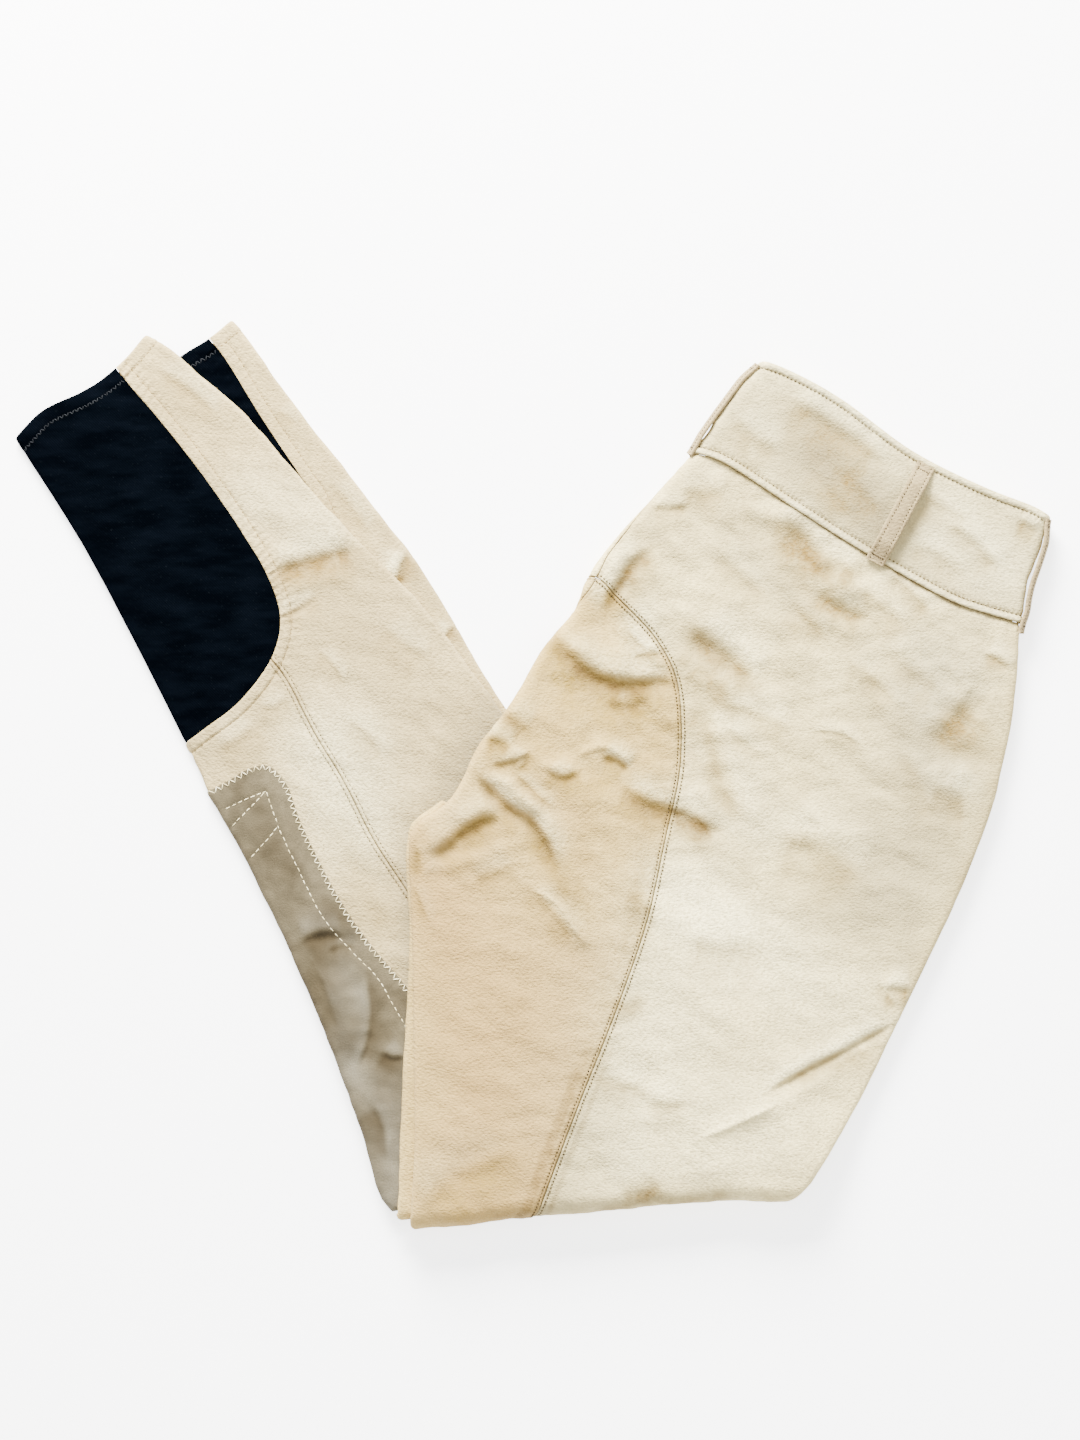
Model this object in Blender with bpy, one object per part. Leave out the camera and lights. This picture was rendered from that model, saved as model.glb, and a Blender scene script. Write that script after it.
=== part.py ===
"""Riding breeches folded for storage: one leg laid on the other, both lower legs turned under at the knee.

The pile lies flat on a surface, seat side up. Each sewn piece that shows is a thin wall of cloth, cut from a
flat pattern and turned over the pile's edges. The layers that don't show are one solid, hidden_layers.
Plan sizes are in millimetres, x across and y towards the waist. The scene is in metres, +Z up, and the pile
stands on z = 0.
"""

import math

import bpy
import numpy as np
from mathutils import Vector
from mathutils.geometry import delaunay_2d_cdt

MM = 0.001

# Cloth, in mm
CLOTH = 1.4  # wall of a leg or seat panel
BAND_CLOTH = 2.2  # wall of the waistband, which is double
SUEDE = 1.1  # wall of the knee patch
LOOP_CLOTH = 1.6  # wall of a belt loop
SEAM_GAP = 0.3
TURN_PARTING = 1.0  # how much wider, as a share, the pattern is parted at a seam on a turned edge
BAND_RISE = 0.9  # how far the waistband stands above the seat panel
CORE_CLEAR = 1.6  # from the inside of a panel down to the hidden layers

# Piled heights, in mm
THIGH_TUBE = 5.5  # one thigh, laid flat: two cloths and the air in their folds
SHIN_TUBE = 5.0  # one lower leg, laid flat
RIGHT_LIFT = SHIN_TUBE + SEAM_GAP  # what the right lower leg, on the floor, lifts the cloth above it by
LEFT_LIFT = SHIN_TUBE + SUEDE + 2 * SEAM_GAP  # the same for the left one with its knee patch
THIGH_RAMP = 60.0  # how far from a lower leg the thighs come down to the floor
SHIN_RAMP = 40.0
LEVEL = 4.0  # how far past a lower leg's outline the cloth above it stays level

# Turned edges
TURN_END = math.radians(150)  # how far a panel turns over an edge
PATCH_END = math.radians(112.5)
KNEE_RADIUS = (RIGHT_LIFT + LEFT_LIFT + 2 * THIGH_TUBE - 1.0) / 2
KNEE_END = math.radians(165)
TURN_ROWS = 4
KNEE_ROWS = 6
FAR_KNEE_RADIUS = 5.2
FAR_KNEE_END = math.radians(88)

# Mesh
LINE_STEP = 14.0  # along seams and edges
GRID_STEP = 18.0  # across panels
CORE_STEP = 20.0  # across the hidden layers
CORE_RIM_STEP = 13.0  # round their edge
ROW_CLEAR = 1.5  # how near to a seam the points of a turned row may lie

# Outlines and seams: x, y of the points that each smooth line runs through
WAIST_TOP = [(121.5, 224.1), (132.8, 220.3), (162.5, 204.7), (205.2, 173.9), (244.4, 154.4), (272.2, 143.3),
             (281.0, 137.0)]
WAIST_SEAM = [(85.3, 173.9), (99.4, 169.3), (140.4, 143.3), (177.5, 119.9), (225.7, 93.0), (244.5, 86.5),
              (262.6, 81.5)]
SIDE_FOLD = [(277.0, 138.0), (270.8, 117.5), (265.1, 100.4), (262.4, 82.0), (260.7, 50.8), (256.1, 18.4),
             (245.2, -24.8), (227.2, -70.0), (197.1, -132.8), (176.0, -176.0), (153.9, -212.8),
             (142.5, -229.5)]
INSEAM_FOLD = [(-65.5, -262.0), (-67.0, -240.0), (-64.8, -204.4), (-65.3, -154.8), (-66.4, -80.5),
               (-68.2, -44.0), (-67.0, -32.0), (-61.0, -24.5), (-52.5, -19.5), (-45.0, -13.0),
               (-40.0, -4.0)]
SEAT_FOLD = [(-30.5, 15.5), (-18.9, 29.7), (-8.1, 46.4), (2.7, 65.9), (21.6, 89.6), (28.6, 106.4),
             (45.9, 130.1), (62.1, 148.0), (85.5, 174.0), (99.9, 193.9), (116.6, 216.0), (122.6, 222.5)]
KNEE_FOLD = [(142.5, -231.3), (122.6, -231.1), (80.5, -232.0), (41.9, -235.4), (-7.7, -239.8),
             (-66.6, -246.2)]
INNER_SEAM = [(22.0, 108.5), (34.3, 105.6), (44.3, 95.6), (64.8, 74.0), (75.6, 54.0), (78.8, 34.6),
              (78.3, 2.2), (70.2, -35.6), (60.3, -79.2), (43.1, -128.8), (22.0, -182.0), (1.0, -237.9),
              (-14.0, -278.0)]
CENTRE_BACK_SEAM = [(88.0, 184.0), (70.0, 163.5), (52.4, 137.2), (45.9, 127.4), (39.4, 118.3),
                    (34.3, 108.0), (28.6, 98.8), (21.5, 93.0), (12.5, 85.5), (-1.0, 73.0), (-12.0, 55.0),
                    (-23.5, 38.5), (-37.0, 22.0), (-55.0, 4.0)]
FAR_THIGH_FOLD = [(-40.5, -1.5), (-46.0, -10.5), (-55.0, -17.5), (-66.5, -26.5), (-69.5, -42.0),
                  (-67.8, -80.0), (-68.5, -111.2), (-71.0, -154.8), (-72.6, -192.0), (-74.0, -236.5)]

# Lower legs: left lies on right. Their far ends run under the thighs to the knee
LEFT_CUFF = [(-281.9, 182.0), (-267.3, 196.6), (-245.7, 206.8), (-234.9, 213.3), (-221.4, 225.2),
             (-211.5, 237.0)]
LEFT_FRONT_EDGE = [(-209.5, 236.6), (-202.5, 232.7), (-191.5, 224.5), (-180.9, 214.9), (-163.1, 200.3),
                   (-137.7, 172.8), (-105.3, 136.6), (-62.1, 91.8), (-29.7, 49.7), (-17.3, 32.4),
                   (40.0, -60.0), (132.0, -216.0)]
LEFT_BACK_EDGE = [(-58.0, -233.0), (-70.0, -233.8), (-77.0, -235.5), (-82.0, -229.5), (-91.8, -196.0),
                  (-103.1, -164.7), (-121.5, -118.3), (-155.0, -47.5), (-176.6, -9.2), (-197.1, 31.9),
                  (-217.1, 71.3), (-245.7, 124.7), (-281.9, 182.0)]
RIGHT_CUFF = [(-233.0, 187.0), (-214.0, 205.0), (-192.8, 225.7), (-176.6, 236.0), (-165.5, 245.2)]
RIGHT_FRONT_EDGE = [(-163.0, 244.6), (-159.3, 240.8), (-148.5, 225.2), (-126.9, 195.5), (-94.5, 153.9),
                    (-62.1, 111.8), (-29.7, 57.2), (-15.1, 34.6), (45.0, -60.0), (136.0, -216.0)]
RIGHT_BACK_EDGE = [(-58.0, -234.0), (-74.0, -210.0), (-84.0, -160.0), (-100.0, -100.0), (-120.0, -45.0),
                   (-143.0, 5.0), (-190.0, 105.0), (-233.0, 187.0)]
LEFT_CALF_SEAM = [(-234.0, 229.0), (-218.7, 209.5), (-202.5, 190.6), (-180.9, 163.1), (-159.3, 131.8),
                  (-144.2, 105.8), (-137.9, 84.2), (-142.0, 64.3), (-159.3, 40.0), (-180.9, 23.2),
                  (-198.0, 10.5)]
LEFT_SHIN_SEAM = [(-150.0, 71.5), (-143.1, 62.6), (-134.5, 51.3), (-119.9, 23.2), (-103.1, -4.6),
                  (-88.0, -34.4), (-67.5, -65.9), (-48.0, -96.0)]
KNEE_PATCH_EDGE = [(-184.0, -13.0), (-166.3, -3.8), (-155.0, 2.7), (-144.7, 4.6), (-134.5, -5.4),
                   (-127.1, -25.1), (-106.7, -65.9), (-91.8, -88.3), (-68.6, -116.1), (-50.0, -140.0)]
RIGHT_CALF_SEAM = [(-184.0, 244.0), (-170.1, 227.9), (-148.5, 193.3), (-126.9, 160.9), (-118.0, 147.5),
                   (-112.0, 130.0)]
# Where panels end out of sight: the lower legs' beneath the thighs, the right leg's beneath the left one
UNDER_THIGH = [(14.0, 66.0), (-2.0, 40.0), (-15.0, 22.0), (-24.0, 6.0), (-34.0, -12.0), (-47.0, -30.0),
               (-52.0, -50.0), (-51.0, -100.0), (-50.0, -160.0), (-50.0, -215.0), (-51.0, -252.0)]
UNDER_LEFT_SHIN = [(-20.0, 8.0), (-40.0, 38.0), (-72.5, 82.4), (-115.7, 127.2), (-148.0, 163.4),
                   (-173.5, 190.9), (-191.3, 205.5), (-215.0, 221.0), (-232.0, 236.0)]
UNDER_NEAR_THIGH = [(-36.0, -20.0), (-55.0, -36.0), (-56.5, -80.0), (-55.5, -155.0), (-57.0, -215.0),
                    (-58.0, -262.0)]
CROTCH_END = [(-64.0, -6.0), (-36.0, -22.0)]

# How round the pile's edge is: x, y beside the edge, radius of the turn
THIGH_TURNS = [(277.0, 138.0, 2.9), (262.0, 82.0, 2.8), (150.0, -220.0, 2.75), (-66.0, -240.0, 2.75),
               (-67.0, -36.0, 2.75), (-46.0, -14.0, 2.9), (-26.0, 20.0, 5.2), (62.0, 148.0, 5.2),
               (85.0, 174.0, 5.0), (122.0, 221.0, 5.0)]
SHIN_TURN = 2.45
FAR_THIGH_TURN = 2.6

# The largest folds of each stack: depth (troughs below 0), half-width, then the x, y points of its line
THIGH_FOLDS = [
    (-1.6, 7.0, (16.2, 58.9), (29.7, 48.1), (43.2, 45.4), (76.0, 48.0)),
    (1.2, 6.5, (20.0, 70.0), (35.1, 61.6), (55.0, 60.0)),
    (-1.3, 6.0, (68.6, 126.4), (51.3, 110.2), (43.2, 94.0)),
    (1.5, 5.0, (29.7, 15.7), (40.5, 17.3), (54.0, 4.9)),
    (-1.4, 5.5, (35.1, 9.2), (52.4, 2.2)),
    (-2.0, 5.0, (-32.4, -0.5), (-24.3, -8.6), (-8.1, -23.8), (5.4, -41.0), (10.8, -57.2)),
    (1.6, 5.5, (-18.9, -3.2), (2.7, -22.1)),
    (-1.2, 7.0, (56.7, -12.4), (72.9, -22.1), (89.1, -31.3)),
    (-1.3, 7.5, (-13.5, -22.1), (-40.5, -35.6), (-56.7, -47.5)),
    (1.2, 7.0, (8.1, -70.2), (29.7, -92.9)),
    (-1.5, 9.0, (83.7, 72.4), (110.7, 56.2)),
    (-1.6, 9.0, (137.7, 137.2), (170.1, 107.5)),
    (1.1, 9.0, (150.0, 122.0), (176.0, 92.0)),
    (-1.4, 8.0, (159.3, 94.0), (175.5, 83.2), (190.0, 72.0)),
    (-1.4, 8.0, (232.2, 42.1), (245.0, 36.0)),
    (-2.1, 4.5, (123.7, -173.3), (164.2, -152.3), (197.1, -132.8)),
    (1.6, 6.5, (91.3, -194.4), (139.3, -174.4)),
    (-1.0, 9.0, (83.2, -225.7), (119.9, -221.9)),
    (-1.2, 8.0, (-57.2, -232.7), (-35.1, -207.9), (-14.0, -193.3)),
    (-1.0, 8.0, (225.0, 33.0), (236.0, 24.0)),
]
BAND_FOLDS = [(-1.1, 8.0, (151.2, 204.7), (170.1, 191.2), (186.3, 177.7))]
SHIN_FOLDS = [
    (-1.2, 6.0, (-140.4, 109.1), (-116.1, 116.6), (-94.5, 123.7)),
    (-1.0, 5.5, (-135.0, 87.5), (-121.5, 94.0)),
    (-1.5, 5.0, (-121.5, -90.2), (-95.6, -90.2)),
    (1.5, 7.0, (-113.9, -104.8), (-91.8, -160.9)),
    (-1.5, 5.0, (-91.8, -136.6), (-95.6, -160.9)),
]

# Belt loops
LOOP_WIDTH = 11.0
LOOP_ROWS = 10
LOOP_COLUMNS = (-1.0, -0.5, 0.0, 0.5, 1.0)
LOOP_RISE = 0.22  # share of a loop's length in which it rises to its gap
BACK_LOOP = [(211.4, 167.0), (183.4, 114.4)]
BACK_LOOP_GAP = 4.7  # under the middle of the loop
SIDE_LOOP_GAP = 2.6
CENTRE_LOOP_GAP = 1.7
SIDE_LOOP_SPAN = [(277.0, 138.0), (262.4, 76.0)]
CENTRE_LOOP_SPAN = [(121.0, 221.0), (83.5, 173.0)]
LOOP_LEAN = math.radians(80)  # where round the turned edge a loop's middle lies

# Hidden layers: how far inside the pile's edge they end
CORE_INSET = 4.0
CORE_SHIN_INSET = 4.0
CORE_SEAT_INSET = 6.4
CORE_WAIST_INSET = 1.3
CORE_NOTCH_INSET = 13.5  # where the turned edge of the left thigh reaches in between the layers
CORE_KNEE_INSET = KNEE_RADIUS + 0.9
CORE_KNEE_RADIUS = KNEE_RADIUS - CLOTH - 0.6
CORE_FOOT = 24.0  # how far in from the edge the layers come down to the floor
# Rows up the thighs' side: height above the lower legs, how far the layers stand out at the outer side and
# at the inner side, and their place on the roll at the knee, from -1 at its foot to 1 at its top
THIGH_SIDE_ROWS = [(0.4, 1.3, 8.5, -0.82), (1.6, 2.4, 9.6, -0.55), (3.2, 2.5, 9.0, -0.1),
                   (3.5, 2.0, 0.0, 0.1), (5.7, 0.2, 0.0, 0.35), (5.9, 0.1, 9.0, 0.6), (7.3, 0.0, 9.8, 0.88)]
ROW_DROP = 0.15  # how far each row at least lies below the next one
# Rows up a lower leg's side: height above what carries it, how far it stands out
SHIN_SIDE_ROWS = [(0.4, 0.8), (1.9, 1.2)]

BEIGE = (0.72, 0.65, 0.52)
SAND = (0.68, 0.56, 0.42)
NAVY_BLACK = (0.005, 0.007, 0.012)
SUEDE_TAN = (0.34, 0.29, 0.20)
SHADED = (0.60, 0.52, 0.40)


# ---------------------------------------------------------------- plan lines


def smooth_line(points, step):
    """Points about step apart on a centripetal Catmull-Rom curve through the given ones."""
    knots = np.asarray(points, float)
    ends = np.vstack([2 * knots[0] - knots[1], knots, 2 * knots[-1] - knots[-2]])
    found = [knots[:1]]
    for i in range(len(knots) - 1):
        a, b, c, d = ends[i : i + 4]
        gaps = [math.sqrt(max(math.dist(p, q), 1e-6)) for p, q in ((a, b), (b, c), (c, d))]
        t0, t1 = 0.0, gaps[0]
        t2 = t1 + gaps[1]
        t3 = t2 + gaps[2]
        count = max(1, round(math.dist(b, c) / step))
        t = np.linspace(t1, t2, count + 1)[1:, None]
        ab = (t1 - t) / (t1 - t0) * a + (t - t0) / (t1 - t0) * b
        bc = (t2 - t) / (t2 - t1) * b + (t - t1) / (t2 - t1) * c
        cd = (t3 - t) / (t3 - t2) * c + (t - t2) / (t3 - t2) * d
        left = (t2 - t) / (t2 - t0) * ab + (t - t0) / (t2 - t0) * bc
        right = (t3 - t) / (t3 - t1) * bc + (t - t1) / (t3 - t1) * cd
        found.append((t2 - t) / (t2 - t1) * left + (t - t1) / (t2 - t1) * right)
    return np.vstack(found)


def run_on(points, before=0.0, after=0.0):
    """The line with straight runs added before its start and after its end."""
    points = np.asarray(points, float)
    out = points
    if before:
        away = points[0] - points[1]
        out = np.vstack([points[0] + away / np.linalg.norm(away) * before, out])
    if after:
        away = points[-1] - points[-2]
        out = np.vstack([out, points[-1] + away / np.linalg.norm(away) * after])
    return out


class Line:
    """A sampled line in the plan. Its left side, looking along it, counts as outside."""

    def __init__(self, points):
        self.points = np.asarray(points, float)
        self.runs = np.diff(self.points, axis=0)
        self.lengths = np.linalg.norm(self.runs, axis=1)
        self.places = np.concatenate([[0.0], np.cumsum(self.lengths)])
        sides = np.column_stack([-self.runs[:, 1], self.runs[:, 0]]) / self.lengths[:, None]
        corners = np.vstack([sides[:1], sides[:-1] + sides[1:], sides[-1:]])
        self.normals = corners / np.linalg.norm(corners, axis=1)[:, None]

    def nearest(self, plan):
        """For each plan point: the place along the line, how far outside it lies, and the normal there."""
        plan = np.atleast_2d(plan)
        to = plan[:, None, :] - self.points[None, :-1, :]
        share = np.clip((to * self.runs).sum(2) / self.lengths**2, 0.0, 1.0)
        gap = np.linalg.norm(to - share[:, :, None] * self.runs, axis=2)
        best = gap.argmin(axis=1)
        rows = np.arange(len(plan))
        share, gap = share[rows, best], gap[rows, best]
        normal = self.normals[best] * (1 - share)[:, None] + self.normals[best + 1] * share[:, None]
        normal /= np.linalg.norm(normal, axis=1)[:, None]
        foot = self.points[best] + self.runs[best] * share[:, None]
        side = np.sign(((plan - foot) * normal).sum(1))
        return self.places[best] + share * self.lengths[best], gap * side, normal

    def outside(self, plan):
        return self.nearest(plan)[1]

    def offset(self, amount):
        """The line moved outwards, by one amount or one for each of its points."""
        return self.points + self.normals * np.broadcast_to(amount, len(self.points))[:, None]


def inside(plan, outline):
    """Whether each plan point lies inside the closed outline."""
    x, y = np.atleast_2d(plan).T[:, :, None]
    x0, y0 = outline.T
    x1, y1 = np.roll(outline, -1, axis=0).T
    crosses = (y0 > y) != (y1 > y)
    reach = x0 + (y - y0) * (x1 - x0) / np.where(y1 == y0, 1e-12, y1 - y0)
    return (crosses & (x < reach)).sum(axis=1) % 2 == 1


def depth_inside(plan, outline):
    """How far inside the closed outline each plan point lies, below 0 outside it."""
    gap = np.abs(Line(np.vstack([outline, outline[:1]])).outside(plan))
    return np.where(inside(plan, outline), gap, -gap)


def eased(share):
    share = np.clip(share, 0.0, 1.0)
    return share * share * (3 - 2 * share)


# ---------------------------------------------------------------- heights

SIDE = Line(run_on(smooth_line(SIDE_FOLD, 6.0), before=30.0, after=60.0))
BACK = Line(run_on(smooth_line(INSEAM_FOLD + SEAT_FOLD, 6.0), before=60.0, after=30.0))
KNEE = Line(run_on(smooth_line(KNEE_FOLD, 6.0), before=40.0, after=40.0))
FAR_THIGH = Line(run_on(smooth_line(FAR_THIGH_FOLD[::-1], 6.0), before=50.0, after=12.0))
LEFT_FRONT = Line(run_on(smooth_line(LEFT_FRONT_EDGE, 6.0), before=30.0))
LEFT_BACK = Line(run_on(smooth_line(LEFT_BACK_EDGE, 6.0), before=30.0, after=30.0))
RIGHT_FRONT = Line(run_on(smooth_line(RIGHT_FRONT_EDGE, 6.0), before=30.0))
LEFT_SHIN = np.vstack([smooth_line(LEFT_CUFF, 8.0)[:-1], smooth_line(LEFT_FRONT_EDGE, 8.0),
                       smooth_line(LEFT_BACK_EDGE, 8.0)[:-1]])
RIGHT_SHIN = np.vstack([smooth_line(RIGHT_CUFF, 8.0)[:-1], smooth_line(RIGHT_FRONT_EDGE, 8.0),
                        smooth_line(RIGHT_BACK_EDGE, 8.0)[:-1]])


def folds_at(plan, folds):
    """The height that the folds add, and the depth that the hidden layers keep below them."""
    added = np.zeros(len(plan))
    kept = np.zeros(len(plan))
    for depth, width, *points in folds:
        line = Line(smooth_line(points, 8.0))
        place, gap, _ = line.nearest(plan)
        share = place / line.places[-1]
        fade = 0.2 + 0.8 * eased(share / 0.3) * eased((1 - share) / 0.3)
        added += depth * fade * np.exp(-((gap / width) ** 2))
        if depth < 0:
            beside = np.maximum(np.abs(gap) - 1.4 * width, 0.0)
            kept = np.maximum(kept, -depth * np.exp(-((beside / width) ** 2)))
    return added, kept


def shin_base(plan):
    """What lifts the left lower leg: the right one under it."""
    return RIGHT_LIFT * eased(1 + (depth_inside(plan, RIGHT_SHIN) + LEVEL) / SHIN_RAMP)


def thigh_base(plan):
    """What lifts the thighs: both lower legs."""
    return (RIGHT_LIFT * eased(1 + (depth_inside(plan, RIGHT_SHIN) + LEVEL) / THIGH_RAMP)
            + LEFT_LIFT * eased(1 + (depth_inside(plan, LEFT_SHIN) + LEVEL) / THIGH_RAMP))


def thigh_top(plan):
    return thigh_base(plan) + 2 * THIGH_TUBE + folds_at(plan, THIGH_FOLDS + BAND_FOLDS)[0]


def far_thigh_top(plan):
    return thigh_base(plan) + THIGH_TUBE - SEAM_GAP


def left_shin_top(plan):
    return shin_base(plan) + SHIN_TUBE + folds_at(plan, SHIN_FOLDS)[0]


def right_shin_top(plan):
    return np.full(len(plan), SHIN_TUBE)


# ---------------------------------------------------------------- cloth


class Cloth:
    """One laid cloth: its turned edges, the knee that it may roll over, and the height of its upper face."""

    def __init__(self, top, edges, turns, knee=None, knee_radius=KNEE_RADIUS, knee_end=KNEE_END):
        self.top = top
        self.edges = edges
        self.turns = turns
        self.knee = knee
        self.knee_radius = knee_radius
        self.knee_end = knee_end

    def radius(self, edge, place):
        """The radius of the turn at a place along an edge."""
        if not isinstance(self.turns, list):
            return np.full(np.shape(place), self.turns)
        table = np.asarray(self.turns, float)
        stations, gap, _ = edge.nearest(table[:, :2])
        near = np.abs(gap) < 12.0
        order = np.argsort(stations[near])
        return np.interp(place, stations[near][order], table[near, 2][order])

    def beyond(self, plan):
        """How far past the start of a turn each point lies, with that turn's radius and outward normal."""
        best = np.full(len(plan), -np.inf)
        radius = np.ones(len(plan))
        normal = np.zeros((len(plan), 2))
        for edge in self.edges:
            place, gap, out = edge.nearest(plan)
            turn = self.radius(edge, place)
            further = gap + turn > best
            best = np.where(further, gap + turn, best)
            radius = np.where(further, turn, radius)
            normal = np.where(further[:, None], out, normal)
        return best, radius, normal

    def place(self, plan, depth):
        """Where points of the flat pattern lie in space, depth below the cloth's upper face."""
        past, radius, normal = self.beyond(plan)
        past = np.maximum(past, 0.0)
        angle = past / radius
        flat = plan + normal * ((radius - depth) * np.sin(angle) - past)[:, None]
        fall = radius - (radius - depth) * np.cos(angle)
        if self.knee is None:
            start = plan - normal * past[:, None]
            return np.column_stack([flat, self.top(start) - fall])
        _, gap, ahead = self.knee.nearest(flat)
        past = np.maximum(gap + self.knee_radius, 0.0)
        angle = past / self.knee_radius
        inner = self.knee_radius - fall
        start = flat - ahead * past[:, None]
        rolled = start + ahead * (inner * np.sin(angle))[:, None]
        height = np.where(past > 0, self.knee_radius - inner * np.cos(angle), fall)
        return np.column_stack([rolled, self.top(start) - height])

    def turn_lines(self):
        """Lines of the pattern along each turned edge and the knee: on the turn, and at its end."""
        rows = []
        ends = []
        for edge in self.edges:
            radius = self.radius(edge, edge.places)
            turned = [edge.offset(radius * (TURN_END * k / TURN_ROWS - 1)) for k in range(TURN_ROWS + 1)]
            rows += turned[:-1]
            ends.append(turned[-1])
        if self.knee is not None:
            radius = self.knee_radius
            angles = [self.knee_end * k / KNEE_ROWS for k in range(KNEE_ROWS + 1)]
            rolled = [self.knee.offset(radius * (angle - 1)) for angle in angles]
            rows += rolled[:-1]
            ends.append(rolled[-1])
        return [[Line(thinned(line, LINE_STEP)) for line in lines] for lines in (rows, ends)]

    def holds(self, plan):
        """Whether each pattern point lies within the turned edges and the knee's end."""
        past, radius, _ = self.beyond(plan)
        found = past < radius * TURN_END
        if self.knee is not None:
            found &= self.knee.outside(plan) < self.knee_radius * (self.knee_end - 1)
        return found


def thinned(points, step):
    """The line's points at about step apart, its ends kept."""
    line = Line(points)
    count = max(1, round(line.places[-1] / step))
    at = np.linspace(0.0, line.places[-1], count + 1)
    return np.column_stack([np.interp(at, line.places, line.points[:, axis]) for axis in (0, 1)])


def cut_line(points, before=0.0, after=0.0):
    """A seam or a cut edge of the pattern, through the given points and straight on past its ends."""
    return Line(thinned(run_on(smooth_line(points, 4.0), before, after), LINE_STEP))


def grid_in(low, high, step):
    """Staggered rows of plan points."""
    rise = step * math.sqrt(3) / 2
    found = []
    for row in range(int((high[1] - low[1]) / rise) + 1):
        start = low[0] + (row % 2) * step / 2
        found += [(x, low[1] + row * rise) for x in np.arange(start, high[0], step)]
    return np.asarray(found)


def clearance(plan, lines):
    """How far each plan point lies from the nearest of the lines."""
    clear = np.full(len(plan), np.inf)
    for line in lines:
        clear = np.minimum(clear, np.abs(line.outside(plan)))
    return clear


def triangles(cuts, rows, loose, step):
    """Triangles that keep the cuts and rows, and the loose points that lie clear of both.

    A row has no points of its own right beside a cut, so that the cloth can part there.
    """
    points = []
    edges = []
    parted_rows = [row.points[clearance(row.points, cuts) > ROW_CLEAR] for row in rows]
    for line in [cut.points for cut in cuts] + parted_rows:
        first = len(points)
        points += [tuple(p) for p in line]
        edges += [(i, i + 1) for i in range(first, len(points) - 1)]
    points += [tuple(p) for p in loose[clearance(loose, cuts + rows) > 0.5 * step]]
    plan, _, faces, *_ = delaunay_2d_cdt([Vector(p) for p in points], edges, [], 0, 1e-4)
    plan = np.array([tuple(p) for p in plan])
    faces = np.array(faces)
    a, b, c = (plan[faces[:, k]] for k in range(3))
    area = (b[:, 0] - a[:, 0]) * (c[:, 1] - a[:, 1]) - (b[:, 1] - a[:, 1]) * (c[:, 0] - a[:, 0])
    faces = np.where((area < 0)[:, None], faces[:, ::-1], faces)
    return plan, faces[np.abs(area) > 1e-4]


def rim_of(faces):
    """The directed edges that only one face has."""
    edges = np.concatenate([faces[:, [0, 1]], faces[:, [1, 2]], faces[:, [2, 0]]])
    known = {tuple(edge) for edge in edges}
    return [(a, b) for a, b in map(tuple, edges) if (b, a) not in known]


def parted(cloth, plan, faces, seams):
    """The pattern points of one piece, moved half a seam gap back from each seam that they lie on.

    They move further on the turned edges, where the insides of two pieces bend towards each other.
    """
    middles = plan[faces].mean(axis=1)
    home = np.zeros_like(plan)
    count = np.zeros(len(plan))
    for corner in range(3):
        np.add.at(home, faces[:, corner], middles)
        np.add.at(count, faces[:, corner], 1)
    home /= np.maximum(count, 1)[:, None]
    past, radius, _ = cloth.beyond(plan)
    amount = SEAM_GAP / 2 * (1 + TURN_PARTING * eased(past / radius))
    moved = np.zeros_like(plan)
    for seam in seams:
        _, gap, normal = seam.nearest(plan)
        side = np.sign(seam.outside(home))
        on = np.abs(gap) < 0.02
        moved[on] += normal[on] * (side * amount)[on, None]
    return plan + moved


def add_object(name, points, faces, colour, roughness=0.9):
    """A named mesh object, its points given in mm, with its own plain material."""
    mesh = bpy.data.meshes.new(name)
    mesh.from_pydata([tuple(p) for p in np.asarray(points) * MM], [], [tuple(map(int, f)) for f in faces])
    mesh.update()
    material = bpy.data.materials.new(name)
    material.use_nodes = True
    shader = material.node_tree.nodes["Principled BSDF"]
    shader.inputs["Base Color"].default_value = (*colour, 1.0)
    shader.inputs["Roughness"].default_value = roughness
    shader.inputs["Metallic"].default_value = 0.0
    mesh.materials.append(material)
    obj = bpy.data.objects.new(name, mesh)
    bpy.context.collection.objects.link(obj)
    return obj


def add_shell(name, outer, inner, faces, colour):
    """A closed wall between matching outer and inner points."""
    count = len(outer)
    shell = [tuple(f) for f in faces] + [(c + count, b + count, a + count) for a, b, c in faces]
    shell += [(b, a, a + count, b + count) for a, b in rim_of(faces)]
    return add_object(name, np.vstack([outer, inner]), shell, colour)


def add_wall(name, cloth, plan, faces, seams, colour, rise=0.0, wall=CLOTH):
    """A sewn piece: the pattern's faces laid in space as a closed wall."""
    used, index = np.unique(faces, return_inverse=True)
    faces = index.reshape(faces.shape)
    plan = parted(cloth, plan[used], faces, seams)
    return add_shell(name, cloth.place(plan, -rise), cloth.place(plan, wall - rise), faces, colour)


def fold_grid(folds, spread, low, high, step):
    """Plan points along each fold and at spread times its half-width on both sides, so that the mesh bends
    there, and a grid clear of them."""
    loose = grid_in(low, high, step)
    if not folds:
        return loose
    bends = []
    for _, width, *points in folds:
        line = Line(thinned(smooth_line(points, 4.0), LINE_STEP))
        bends += [line.points, line.offset(spread * width), line.offset(-spread * width)]
    bends = np.vstack(bends)
    far = np.abs(loose[:, None, :] - bends[None]).max(axis=2).min(axis=1) > 0.5 * step
    return np.vstack([bends, loose[far]])


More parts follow.
